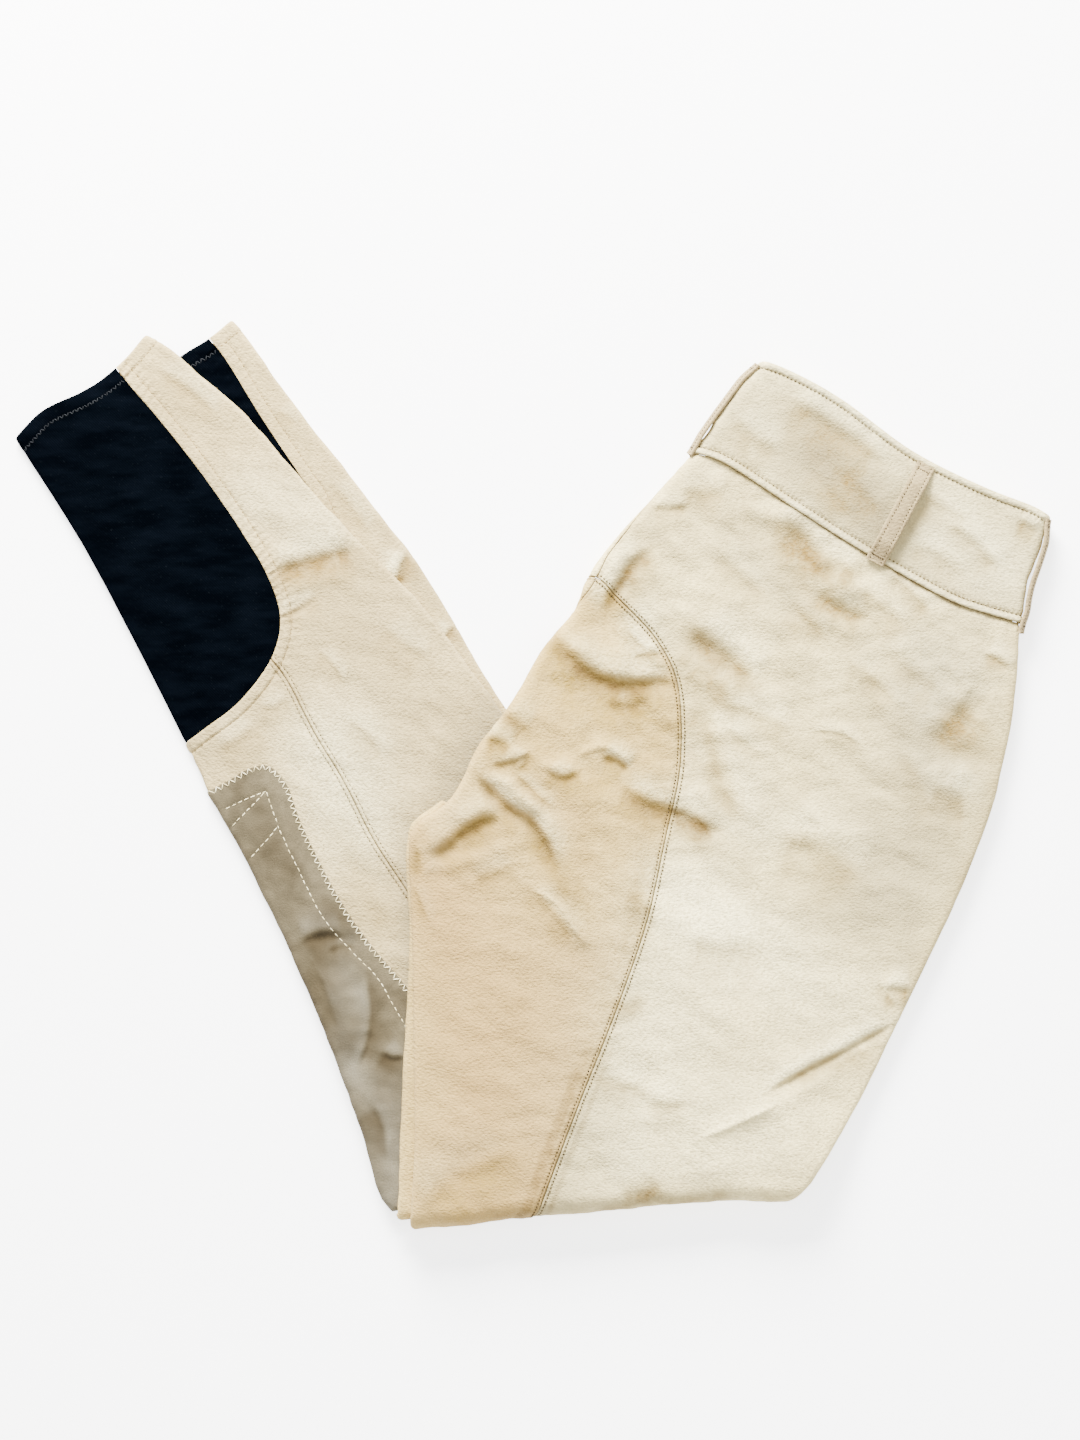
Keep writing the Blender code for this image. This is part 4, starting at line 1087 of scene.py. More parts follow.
class Kind(Enum):
    """The finishes of the breeches' parts."""

    SEAT = TwillCloth("seat_twill", (0.76, 0.625, 0.290), (0.45, 0.363, 0.170), pale=(0.86, 0.76, 0.42),
                      shade_and_tone=(0.26, 0.215, 0.118))
    INNER = TwillCloth("inner_thigh_twill", (0.55, 0.400, 0.145), (0.39, 0.270, 0.092),
                       stain_and_shade=(0.26, 0.170, 0.030), shade_and_tone=(0.345, 0.208, 0.070))
    BAND = TwillCloth("waistband_twill", (0.62, 0.525, 0.262), (0.41, 0.338, 0.168),
                      shade_and_tone=(0.165, 0.128, 0.066))
    LEG = TwillCloth("lower_leg_twill", (0.49, 0.376, 0.176), (0.345, 0.262, 0.120))
    LOOP = TwillCloth("belt_loop_twill", (0.34, 0.26, 0.125), (0.24, 0.175, 0.085))
    # Painted shade: the panels' beige twill, darkened for the hidden layers seen only in the gaps.
    LAYER = TwillCloth("inner_layer_twill_in_shade", (0.34, 0.26, 0.125), (0.25, 0.185, 0.085))
    STRETCH = StretchCloth("calf_stretch", (0.0003, 0.0006, 0.0011), (0.0010, 0.0016, 0.0028))
    SUEDE = Suede("knee_suede", (0.125, 0.103, 0.060), (0.076, 0.062, 0.036), (0.036, 0.026, 0.013))
    CREAM_THREAD = Thread("cream_thread", (0.30, 0.21, 0.090), (0.20, 0.135, 0.055))
    # Painted shade: near-black thread stands for the shade in the sunk stitch rows' needle holes.
    SUNK_STITCH_SHADE = Thread("sunk_stitch_shade_thread", (0.050, 0.034, 0.016), (0.028, 0.019, 0.009))
    NAVY_THREAD = Thread("navy_thread", (0.0150, 0.0165, 0.0190), (0.0075, 0.0085, 0.0105))
    WHITE_THREAD = Thread("white_thread", (0.72, 0.64, 0.40), (0.48, 0.40, 0.21))
    PAPER = Paper("floor_paper", (0.97, 0.97, 0.97))

    def on(self, obj: bpy.types.Object) -> None:
        """Dress an object in this finish, made once and shared."""
        made = bpy.data.materials.get(self.value.name) or self.value.material()
        obj.data.materials.clear()
        obj.data.materials.append(made)


# ---------------------------------------------------------------- making pieces


def deselect_all() -> None:
    """Leave nothing selected and no object in edit mode."""
    if bpy.context.object and bpy.context.object.mode != "OBJECT":
        bpy.ops.object.mode_set(mode="OBJECT")
    bpy.ops.object.select_all(action="DESELECT")


def new_object(name: str, points: Array, faces: Sequence[Sequence[int]], smooth_under: float = 50.0
               ) -> bpy.types.Object:
    """Make a mesh object from points in mm, smoothly shaded but for its sharp corners.

    Args:
        name: Name of the object.
        points: Its points.
        faces: Its faces.
        smooth_under: The angle under which two faces look like one surface, in degrees.

    Returns:
        The new object.
    """
    mesh = bpy.data.meshes.new(name)
    mesh.from_pydata((np.asarray(points) * MM).tolist(), [], faces)
    mesh.update()
    obj = bpy.data.objects.new(name, mesh)
    bpy.context.collection.objects.link(obj)
    deselect_all()
    bpy.context.view_layer.objects.active = obj
    obj.select_set(True)
    bpy.ops.object.shade_smooth_by_angle(angle=math.radians(smooth_under))
    deselect_all()
    return obj


def walled(outer: Array, inner: Array, faces: list[list[int]]) -> tuple[Array, list[Sequence[int]]]:
    """Close two equal sheets into a thin wall.

    Args:
        outer: The points of the outer sheet.
        inner: The points of the inner one.
        faces: The outer sheet's faces, as point numbers.

    Returns:
        The points and the faces of the wall.
    """
    count = len(outer)
    edges = {(face[k - 1], face[k]) for face in faces for k in range(len(face))}
    rim = [(b, a, a + count, b + count) for a, b in edges if (b, a) not in edges]
    return np.vstack([outer, inner]), faces + [[i + count for i in face[::-1]] for face in faces] + rim


def write_marks(obj: bpy.types.Object, plan: Array, marks: dict[str, Array]) -> None:
    """Write a piece's flat coordinates and marks on its points.

    Args:
        obj: The piece.
        plan: The pattern point of each of its points, in mm.
        marks: Values from 0 to 1 for each of its points, by name.
    """
    mesh = obj.data
    corners = np.zeros(len(mesh.loops), np.int32)
    mesh.loops.foreach_get("vertex_index", corners)
    layer = mesh.uv_layers.new(name="pattern")
    layer.data.foreach_set("uv", (plan[corners] * MM).astype(np.float32).ravel())
    for name, values in marks.items():
        mesh.attributes.new(name, "FLOAT", "POINT").data.foreach_set("value", values.astype(np.float32))


@dataclass
class Piece:
    """One cut piece of cloth, and the flat size and area of its cut. Sizes in mm.

    Attributes:
        name: Its name.
        node: The plain solid that it stands for.
        slot: The name of the slot for its finish.
        kind: Its finish.
        cloth: The cloth that it is part of.
        relief: Gives the height of its fine form.
        rise: How far it lies above its cloth's upper face.
        wall: Its thickness.
        rests_on: What it lies on; it is not used.
        held: How it is held; it is not used.

    A point less than ON_SEAM from a seam lies on it. A piece that fills less than the share SLIVER of its
    rectangle is given the size of a strip of the same area and length, LEAST_WIDTH wide or more.
    """

    name: str
    node: str | None
    slot: str
    kind: Kind
    cloth: Cloth | None = None
    relief: Height | None = None
    rise: float = 0.0
    wall: float = 1.4
    rests_on: tuple[str, ...] = ("inner_layers",)
    held: str = "folded"

    ON_SEAM: ClassVar[float] = 0.02
    SLIVER: ClassVar[float] = 0.32
    LEAST_WIDTH: ClassVar[float] = 10.0

    def __post_init__(self) -> None:
        """Start with nothing sewn on it."""
        self.sewn: list[bpy.types.Object] = []

    def top(self, plan: Array) -> Array:
        """Give the height of the piece's upper face above its cloth's."""
        return self.rise + self.relief(plan)

    def sew(self, pattern: Pattern, seams: Sequence[Line], marks: Callable[[Array], dict[str, Array]],
            gap: float = 0.3) -> None:
        """Lay the piece in space as a closed wall and dress it.

        Args:
            pattern: Its own pattern.
            seams: The seams that it ends at.
            marks: Gives the marks that its finish reads.
            gap: The gap between two pieces at a seam.
        """
        plan = self.parted(pattern, seams, gap)
        high = self.top(pattern.plan)
        outer, inner = self.cloth.place(plan, -high), self.cloth.place(plan, self.wall - high)
        obj = new_object(self.name, *walled(outer, inner, pattern.faces.tolist()))
        marked = {name: np.tile(values, 2) for name, values in marks(pattern.plan).items()}
        write_marks(obj, np.tile(pattern.plan, (2, 1)), marked)
        self.dress(obj)
        width, length = pattern.extent()
        area = min(pattern.area(), width * length)
        if area < self.SLIVER * width * length:
            width, length = max(area / max(width, length), self.LEAST_WIDTH), max(width, length)
        self.declared = dict(flat=(width * MM, length * MM), area=area * MM * MM)

    def parted(self, pattern: Pattern, seams: Sequence[Line], gap: float) -> Array:
        """Move the pattern's points half a seam gap back from each seam that they lie on."""
        middles = pattern.middles()
        home = np.zeros_like(pattern.plan)
        count = np.zeros(len(pattern.plan))
        for corner in range(3):
            np.add.at(home, pattern.faces[:, corner], middles)
            np.add.at(count, pattern.faces[:, corner], 1)
        home /= np.maximum(count, 1)[:, None]
        past, radius, _ = self.cloth.beyond(pattern.plan)
        amount = gap / 2 * (1 + eased(past / radius))
        moved = np.zeros_like(pattern.plan)
        for seam in seams:
            _, away, normal = seam.nearest(pattern.plan)
            side = np.sign(seam.outside(home))
            on = np.abs(away) < self.ON_SEAM
            moved[on] += normal[on] * (side * amount)[on, None]
        return pattern.plan + moved

    def dress(self, obj: bpy.types.Object) -> None:
        """Give the piece its finish and its body, hide the plain solid that it stands for, and log its face
        count.
        """
        self.obj = obj
        self.kind.on(obj)
        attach(obj, BODY)
        if self.node:
            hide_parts(self.node)
        log.info("%s: %d faces", self.name, len(obj.data.polygons))

    def declare(self) -> None:
        """Do nothing: the cut stays in declared and is not stated anywhere."""


# ---------------------------------------------------------------- stitches


class Stitcher:
    """Lays stitches along pattern lines. One stitch is modelled once, and the rest are copies of it.

    LIFT is how far a stitch stands off, in its own thicknesses, JOG how far its ends stray, in mm, and UNEVEN
    the share by which its thickness varies.
    """

    SEGMENTS = 6
    RINGS = 4
    LIFT = 0.12
    JOG = 0.1
    UNEVEN = 0.15

    def __init__(self) -> None:
        """Model the one stitch."""
        self.points, self.faces = self._model()

    def _model(self) -> tuple[Array, list[list[int]]]:
        """Model a plump thread 1 long and 1 thick, along x, whose ends dip into the cloth."""
        deselect_all()
        bpy.ops.mesh.primitive_uv_sphere_add(segments=self.SEGMENTS, ring_count=self.RINGS, radius=0.5,
                                             rotation=(0.0, math.radians(90), 0.0))
        stitch = bpy.context.object
        bpy.ops.object.transform_apply(location=False, rotation=True, scale=True)
        bpy.ops.object.mode_set(mode="EDIT")
        bpy.ops.mesh.select_all(action="DESELECT")
        bpy.ops.object.mode_set(mode="OBJECT")
        for vertex in stitch.data.vertices:
            vertex.select = abs(vertex.co.x) > 0.45
        bpy.ops.object.mode_set(mode="EDIT")
        bpy.ops.transform.translate(value=(0.0, 0.0, -0.35))
        bpy.ops.object.mode_set(mode="OBJECT")
        points = np.array([tuple(vertex.co) for vertex in stitch.data.vertices])
        faces = [list(face.vertices) for face in stitch.data.polygons]
        bpy.data.objects.remove(stitch, do_unlink=True)
        return points, faces

    def run(self, name: str, piece: Piece, ends: tuple[Array, Array], kind: Kind, thick: float, seed: int
            ) -> None:
        """Lay stitches on a piece from pattern points to pattern points.

        Args:
            name: Name of the row.
            piece: The piece that they are sewn to.
            ends: Where they start and where they end.
            kind: The thread.
            thick: Thickness of the thread, in mm.
            seed: Start of the small chance differences.
        """
        cloth, (starts, ends) = piece.cloth, ends
        chance = np.random.default_rng(SEED + seed)
        jog = chance.normal(0.0, self.JOG, (len(starts), 2))
        middles = (starts + ends) / 2
        high = piece.top(middles) + self.LIFT * thick
        a = cloth.place(starts + jog, -high)
        b = cloth.place(ends + jog, -high)
        up = cloth.place(middles, -high - 1.0) - cloth.place(middles, -high)
        up /= np.linalg.norm(up, axis=1)[:, None]
        side = np.cross(up, b - a)
        side /= np.linalg.norm(side, axis=1)[:, None]
        thickness = thick * chance.uniform(1 - self.UNEVEN, 1 + self.UNEVEN, len(starts))
        x, y, z = self.points.T
        points = ((a + b)[:, None] / 2 + x[None, :, None] * (b - a)[:, None]
                  + y[None, :, None] * (side * thickness[:, None])[:, None]
                  + z[None, :, None] * (up * thickness[:, None])[:, None]).reshape(-1, 3)
        shift = len(self.points)
        faces = [[i + n * shift for i in face] for n in range(len(starts)) for face in self.faces]
        obj = new_object(name, points, faces, smooth_under=180.0)
        Piece(name, None, piece.slot, kind).dress(obj)
        piece.sewn.append(obj)

    def spots(self, line: Line, pitch: float, length: float, keep: Callable[[Array], Array] | None = None
              ) -> tuple[Array, Array]:
        """Space stitches along a line.

        Args:
            line: The line.
            pitch: From one stitch to the next, in mm.
            length: Length of a stitch, in mm.
            keep: Tells which pattern points may carry one.

        Returns:
            Where the stitches start and where they end.
        """
        centres = np.arange(pitch / 2, line.places[-1], pitch)
        kept = np.ones(len(centres), bool) if keep is None else keep(line.at(centres))
        centres = centres[kept]
        return line.at(centres - length / 2), line.at(centres + length / 2)

    def zigzag(self, line: Line, pitch: float, inner: float, outer: float,
               keep: Callable[[Array], Array] | None = None) -> tuple[Array, Array]:
        """Space the slanting stitches of a zigzag along a line.

        Args:
            line: The line.
            pitch: Length of one full zigzag, in mm.
            inner: How far outside the line its inner corners lie.
            outer: How far outside the line its outer corners lie.
            keep: Tells which pattern points may carry one.

        Returns:
            Where the stitches start and where they end.
        """
        places = np.arange(0.0, line.places[-1], pitch / 2)
        offsets = np.where(np.arange(len(places)) % 2, inner, outer)
        middle = line.at(places)
        normal = np.column_stack([np.interp(places, line.places, line.normals[:, axis]) for axis in (0, 1)])
        corners = middle + normal * offsets[:, None]
        kept = np.ones(len(places) - 1, bool) if keep is None else keep((corners[1:] + corners[:-1]) / 2)
        return corners[:-1][kept], corners[1:][kept]


# ---------------------------------------------------------------- thighs, seat and waist


@dataclass
class Thigh:
    """The upper thigh of the pile with its seat and waistband, and the slivers of the other leg's seat.

    Sizes in mm.

    Attributes:
        pile: The pile that it lies on.
        band_rise: How far the waistband stands above the seat.
        band_wall: Thickness of the waistband, which is double.
        roll: Width of the rolled edges of the waistband.
        roll_height: Their height.
        groove: From each edge to the stitching beside it.
        groove_form: How deep that stitching sinks in, and half the width of the groove.
        ridge_form: How high the cloth stands up past the groove, how far past it, and half its width there.
        tuck_form: How deep the seat dips beside the waistband, how far from the seam, and half that width.
        tuck_dark: How dark the painted shadow in the dip is.
        groove_dark: How dark the painted shade in the groove's stitch holes is.
        roll_highlight: How strongly the rolled edges are painted with a highlight.
        dimple_pitch: From one stitch of that row to the next.
        step: How finely the cloth is meshed.
        knee_end: How far the cloth rolls at the knee, in radians.
        turns: Rows of x, y and the radius of the turn there.
        folds: The folds that all layers share; rows as Folds reads them.
        crotch_creases: The sharp creases round the crotch.
        seat_creases: Those of the seat and the thigh.
        band_creases: Those of the waistband.
        stains_and_shade: Yellowed spots and painted shade by folds and a loop; rows as stained reads them, as
            in the next three.
        grime_and_shade: Dark smudges, and painted shade in folds and along the bottom edge.
        pale: Paler spots, and painted highlights on ridges.
        shade_and_tone: Painted shade on the waistband and the seat's right side, and tan and grey patches of
            the cloth.
    """

    pile: Pile
    band_rise: float = 0.9
    band_wall: float = 2.2
    roll: float = 3.5
    roll_height: float = 0.95
    groove: float = 4.0
    groove_form: Row = (0.75, 0.8)
    ridge_form: Row = (0.3, 2.8, 1.7)
    tuck_form: Row = (0.7, 0.2, 1.3)
    tuck_dark: float = 1.1
    groove_dark: float = 0.85
    roll_highlight: float = 0.6
    dimple_pitch: float = 2.4
    step: float = 1.9
    knee_end: float = math.radians(165)
    waist_top: Route = ((121.5, 224.1), (132.8, 220.3), (162.5, 204.7), (205.2, 173.9), (244.4, 154.4),
                        (272.2, 143.3), (281, 137))
    waist_seam: Route = ((85.3, 173.9), (99.4, 169.3), (140.4, 143.3), (177.5, 119.9), (225.7, 93),
                         (244.5, 86.5), (262.6, 81.5))
    inner_seam: Route = ((22, 108.5), (34.3, 105.6), (44.3, 95.6), (64.8, 74), (75.6, 54), (78.8, 34.6),
                         (78.3, 2.2), (70.2, -35.6), (60.3, -79.2), (43.1, -128.8), (22, -182), (1, -237.9),
                         (-14, -278))
    centre_back_seam: Route = ((88, 184), (70, 163.5), (52.4, 137.2), (45.9, 127.4), (39.4, 118.3),
                               (34.3, 108), (28.6, 98.8), (21.5, 93), (12.5, 85.5), (-1, 73), (-12, 55),
                               (-23.5, 38.5), (-37, 22), (-55, 4))
    turns: tuple = ((277.0, 138.0, 2.9), (262.0, 82.0, 2.8), (150.0, -220.0, 2.75), (-66.0, -240.0, 2.75),
                    (-67.0, -36.0, 2.75), (-46.0, -14.0, 2.9), (-26.0, 20.0, 5.2), (62.0, 148.0, 5.2),
                    (85.0, 174.0, 5.0), (122.0, 221.0, 5.0))
    folds: tuple = (
        (-1.6, 7, 16.2, 58.9, 29.7, 48.1, 43.2, 45.4, 76, 48),
        (1.2, 6.5, 20, 70, 35.1, 61.6, 55, 60),
        (-1.3, 6, 68.6, 126.4, 51.3, 110.2, 43.2, 94),
        (1.5, 5, 29.7, 15.7, 40.5, 17.3, 54, 4.9),
        (-1.4, 5.5, 35.1, 9.2, 52.4, 2.2),
        (-2, 5, -32.4, -0.5, -24.3, -8.6, -8.1, -23.8, 5.4, -41, 10.8, -57.2),
        (1.6, 5.5, -18.9, -3.2, 2.7, -22.1),
        (-1.2, 7, 56.7, -12.4, 72.9, -22.1, 89.1, -31.3),
        (-1.3, 7.5, -13.5, -22.1, -40.5, -35.6, -56.7, -47.5),
        (1.2, 7, 8.1, -70.2, 29.7, -92.9),
        (-1.5, 9, 83.7, 72.4, 110.7, 56.2),
        (-1.6, 9, 137.7, 137.2, 170.1, 107.5),
        (1.1, 9, 150, 122, 176, 92),
        (-1.4, 8, 159.3, 94, 175.5, 83.2, 190, 72),
        (-1.4, 8, 232.2, 42.1, 245, 36),
        (-1.8, 4.5, 123.7, -173.3, 164.2, -152.3, 197.1, -132.8),
        (1.6, 6.5, 91.3, -194.4, 139.3, -174.4),
        (-0.6, 9, 83.2, -225.7, 119.9, -221.9),
        (-1.2, 8, -57.2, -232.7, -35.1, -207.9, -14, -193.3),
        (-1, 8, 225, 33, 236, 24),
        (-1.1, 8, 151.2, 204.7, 170.1, 191.2, 186.3, 177.7),
    )
    crotch_creases: tuple = (
        (-1.2, 3.4, 8, 75, 18, 63, 28, 54, 40, 48.5, 52, 47.5, 66, 48, 79, 50),
        (0.8, 3.5, 14, 76, 26, 66, 38, 57, 52, 54, 70, 54),
        (-0.5, 2.5, 36, 40, 46, 36, 56, 37, 64, 42),
        (-1, 2.6, -27, 18, -20, 16.5, -13, 13),
        (-0.5, 3, -17, 33, -11, 27, -5, 22),
        (-0.7, 1.8, -24, 3.5, -14, 5.5, -7, 8, -2, 12),
        (-0.5, 1.6, -2, 12, -5, 5, -8, 1),
        (-1, 2.2, 5, 1, 12, -2.5, 19, -2.5, 25, 1.5),
        (0.6, 2.5, 3, 6, 14, 4, 24, 7),
        (-1.7, 2.6, -33, 0.5, -27, -7, -20, -14.5, -12, -21, -4, -25.5, 2, -33, 7, -42, 11, -52),
        (1, 3, -22, -1, -10, -9, -1, -17, 7, -26, 11, -38),
        (-0.6, 1.5, -12, 0.5, -4, -7.5, 4, -15, 10, -20),
        (0.8, 1.6, -1, -62, 8, -67, 15, -73, 20, -82, 28, -92),
        (-0.6, 2.5, -4, -62, 4, -71, 12, -80, 20, -92),
        (-1.5, 3.4, -57, -46, -47, -40, -37, -31.5, -27, -26, -16, -25),
        (0.8, 4, -54, -53, -36, -46, -16, -39, -2, -36),
        (-0.8, 2.6, -66, -38, -63.5, -47, -62.5, -56),
        (-0.5, 1.5, -66, -60, -62, -70, -58, -80),
        (-0.5, 3, -34, -59, -20, -55, -9, -50),
        (1, 2.2, 22, 9, 30, 13.5, 39, 14.5, 47, 10, 53, 3),
        (-1.1, 2, 36, 9, 43, 6.5, 50, 1),
        (-1.3, 3.4, 43, -6, 53, -13, 62, -18.5, 73, -21, 84, -25, 93, -30, 106, -33),
        (-1.2, 3.2, 64, 122, 54, 113, 48, 104, 42, 95, 38, 86),
        (0.6, 3.5, 50, 122, 42, 112, 36, 104),
        (-0.4, 1.3, 48, 80, 55, 70, 68, 64),
        (-0.35, 1.3, 52, 62, 60, 64, 69, 64),
    )
    seat_creases: tuple = (
        (-0.6, 2, 62, 143.5, 72, 142.5, 84, 144.5),
        (-0.5, 3.5, 78, 150, 92, 151, 104, 148),
        (-1, 4.6, 82, 80, 95, 68, 106, 58, 120, 46),
        (-0.6, 3, 98, 37, 112, 33, 126, 27, 138, 22),
        (-1.1, 4.6, 126, 135, 140, 129, 150, 118, 160, 110, 178, 106),
        (-0.5, 2, 142, 124, 149, 114, 156, 108),
        (-0.9, 3.6, 150, 100, 158, 93, 167, 87, 180, 83),
        (-0.5, 3, 138, 92, 148, 80, 158, 71),
        (-0.6, 3.2, 172, 101, 186, 89, 200, 76),
        (-0.6, 2.6, 190, 108, 203, 96, 214, 84),
        (-0.5, 3, 84, 60, 94, 49, 106, 38),
        (-0.45, 2.6, 100, 25, 111, 16, 124, 6),
        (-0.45, 3.4, 96, 118, 112, 104, 126, 92),
        (-0.4, 3, 168, 60, 184, 48, 196, 34),
        (-0.4, 3.4, 196, 12, 206, -6, 210, -24),
        (0.7, 3.2, 150, 92, 164, 80, 172, 72),
        (-0.45, 1.4, 150, 22, 164, 21, 177, 14),
        (-0.9, 2.2, 243, 64, 251, 60, 256, 55),
        (0.9, 4.5, 214, 3, 226, 1, 238, -2),
        (-0.7, 4.5, 215, -8, 224, -15, 234, -16),
        (-1, 7, 216, 14, 226, 25, 238, 37),
        (-0.7, 5, 88, 42, 93, 15, 100, -8, 112, -30),
        (0.8, 6, 100, 20, 112, -6, 126, -30),
        (-0.7, 6, 130, -34, 152, -44, 176, -62),
        (0.6, 7, 120, 90, 134, 74, 150, 62),
        (-0.5, 5, 186, 66, 204, 52, 220, 44),
        (-0.5, 6, 80, -92, 100, -98, 124, -96),
        (-1.1, 1.7, 124, -173, 136, -166, 150, -158.5, 163, -152.5, 176, -145.5, 188, -139, 197, -135),
        (-0.4, 2.4, 160, -161, 178, -152, 192, -146),
        (0.9, 1.8, 88, -196, 101, -191, 116, -184.5, 131, -177.5),
        (0.7, 4, 132, -178, 150, -168, 166, -160),
        (-1, 2.4, 189, -116, 196, -117.5, 203, -118),
        (-0.5, 1.8, 185, -113, 190, -121, 195, -128),
        (-0.4, 5, 46, -232, 57, -225, 70, -219),
        (-0.7, 5, -58, -236, -44, -224, -24, -213, -8, -204),
        (-0.45, 3, 60, -178, 72, -179.5, 82, -179),
        (-0.4, 3, 34, -166, 46, -168, 58, -172),
    )
    band_creases: tuple = (
        (-1, 4, 134, 203, 150, 192, 170, 179, 190, 165),
        (-0.8, 4, 160, 166, 174, 152, 186, 138),
        (-0.6, 3.5, 148, 164, 160, 150, 170, 138),
        (-0.6, 4, 104, 192, 116, 180, 132, 170),
        (-0.7, 3, 222, 134, 238, 122, 250, 108),
        (-0.5, 3, 206, 150, 220, 142, 236, 134),
        (-0.9, 2.2, 261, 136, 271, 130),
        (-0.5, 4, 200, 122, 216, 116, 232, 104),
    )
    stains_and_shade: tuple = (
        (0.45, 5, 56, -66, 58, -84),
        (0.34, 5, 40, -124, 50, -128, 56, -122),
        (0.22, 9, 34, -150, 22, -172),
        (0.3, 10, 56, 118, 44, 98, 30, 88),
        (0.26, 11, 235, 34, 222, 18),
        (0.46, 18, 10, 62, 26, 42, 52, 36),
        (0.4, 15, -12, 22, 14, 8, 34, -8),
        (0.34, 10, 4, -40, 14, -56, 24, -74),
        (0.24, 16, 34, -40, 50, -58),
        (0.3, 5, 18, 57, 34, 44, 60, 42),
        (0.3, 6, 8, 74, 18, 66),
        (0.22, 13, -56, -38, -30, -30),
        (0.3, 8, 12, -50, 17, -62),
        (0.14, 26, 60, -20, 90, -30),
        (0.18, 12, 146, 122, 158, 108, 172, 104),
        (0.12, 18, 90, 70, 118, 50),
        (0.16, 16, -50, -232, -16, -212),
        (0.16, 9, 52, -226, 90, -228, 126, -226),
        (0.5, 4.5, 44, -235, 62, -227, 78, -231, 100, -228),
        (0.16, 9, 172, 172, 190, 150),
        (0.28, 5.5, 214, 150, 200, 128),
        (0.3, 7, 262, 74, 257, 20, 246, -24, 228, -70, 204, -120),
        (0.24, 8, 30, -238, 90, -234, 140, -232),
        (0.2, 8, -64, -246, -30, -240, 20, -236),
        (0.16, 20, 100, 150, 124, 132),
        (0.2, 22, 20, 66, 50, 40, 60, 6),
        (0.35, 4, 263, 133, 268, 128),
    )
    grime_and_shade: tuple = (
        (0.55, 3.8, 53, -68, 55, -77),
        (0.3, 3.4, 60, -74, 62, -80),
        (0.22, 3, 57, -50, 53, -70, 48, -94),
        (0.34, 5, 41, -133, 47, -128, 55, -124),
        (0.28, 6, 24, -162, 33, -163),
        (0.3, 3.2, 34, -166, 48, -170, 58, -172),
        (0.42, 3.6, 38, -237, 50, -232, 61, -226),
        (0.42, 3.2, 61, -226, 74, -231, 92, -231, 108, -229),
        (0.35, 2.6, -20, -240, -10, -239, 2, -238),
        (0.3, 9, 24, 58, 38, 45, 50, 38),
        (0.24, 8, 48, 42, 74, 44),
        (0.28, 6, 12, 72, 18, 66),
        (0.3, 5, -18, 32, -8, 24),
        (0.22, 8, 50, -14, 66, -22, 90, -28),
        (0.34, 6, 6, -44, 13, -57, 20, -68),
        (0.18, 9, -40, -30, -22, -30),
        (0.16, 7, -4, -118, -12, -126),
        (0.16, 12, 18, -84, 32, -98),
        (0.2, 7, 88, 74, 104, 60, 120, 48),
        (0.16, 6, 148, 118, 164, 108),
    )
    pale: tuple = (
        (0.6, 24, 74, -62, 98, -84, 128, -94),
        (0.75, 18, 84, -66, 98, -84, 104, -100),
        (0.55, 50, 70, -130, 60, -190, 110, -190),
        (0.6, 11, 56, 84, 58, 72),
        (0.35, 9, 86, 12, 84, -4),
        (0.65, 9, 218, 2, 232, -2),
        (0.45, 26, 150, -118, 176, -128),
        (0.45, 20, 208, 46, 226, 52),
        (0.4, 16, 100, -28, 130, -30),
        (0.5, 20, 220, 128, 250, 110),
    )
    shade_and_tone: tuple = (
        (0.45, 22, 98, 142, 122, 116, 138, 102),
        (0.7, 34, 216, 50, 208, -20, 188, -70),
        (0.85, 17, 154, 174, 176, 150, 186, 134),
        (0.75, 44, -60, -50, -34, -110, -30, -230),
        (0.45, 30, 16, -110, 14, -220),
        (0.25, 20, 0, 20, 24, -40),
    )

    def __post_init__(self) -> None:
        """Draw the seams and the cloth."""
        self.main_folds = Folds(self.folds)
        self.crotch_folds = Folds(self.crotch_creases, step=3.0, gain=1.5, bulge=0.8, tint=0.72)
        self.seat_folds = Folds(self.seat_creases, step=3.0, gain=1.5, bulge=0.8, tint=0.31)
        self.band_folds = Folds(self.band_creases, step=3.0, gain=1.6, bulge=0.8, tint=0.2)
        self.top_edge = cut_line(self.waist_top, self.step, before=25.0, after=25.0)
        self.waist = cut_line(self.waist_seam, self.step, before=25.0, after=25.0)
        self.inner = cut_line(self.inner_seam, self.step, before=30.0)
        self.centre = cut_line(self.centre_back_seam, self.step)
        pile = self.pile
        self.cloth = Cloth(self.top, [pile.side, pile.back], self.turns, pile.knee, pile.knee_radius,
                           self.knee_end)
        self.seams = [
            Seam(self.inner, allowances=((-8.2, 0.45), (-5.8, 0.35), (5.6, 0.3)), allowances_below=-130.0,
                 pucker=0.12),
            Seam(self.centre, rows=(1.8,), puff=0.1),
        ]
        self.band_edges = ((self.waist.thinned(3.0), 1.0), (self.top_edge.thinned(3.0), -1.0))
        self.ripples = [Ripple(1, height=1.25, longest=64.0, shortest=16.0),
                        Ripple(2, height=0.42, longest=20.0, shortest=6.0, lean=-35.0, spread=70.0)]

    def top(self, plan: Array) -> Array:
        """Give the height of the cloth's upper face."""
        return self.pile.thigh_base(plan) + 2 * self.pile.thigh_tube + self.main_folds.height(plan)

    def rolled(self, gap: Array) -> Array:
        """Give the height of a rolled edge at the given distances inside it."""
        across = np.clip((gap - self.roll / 2) / (self.roll / 2 + 0.1), -1.0, 1.0)
        return self.roll_height * np.sqrt(1 - across**2)

    def dimple(self, place: Array) -> Array:
        """Give how deep the stitching sinks in at places along its row, from 0 to 1."""
        return 0.5 + 0.5 * np.cos(2 * math.pi * place / self.dimple_pitch)

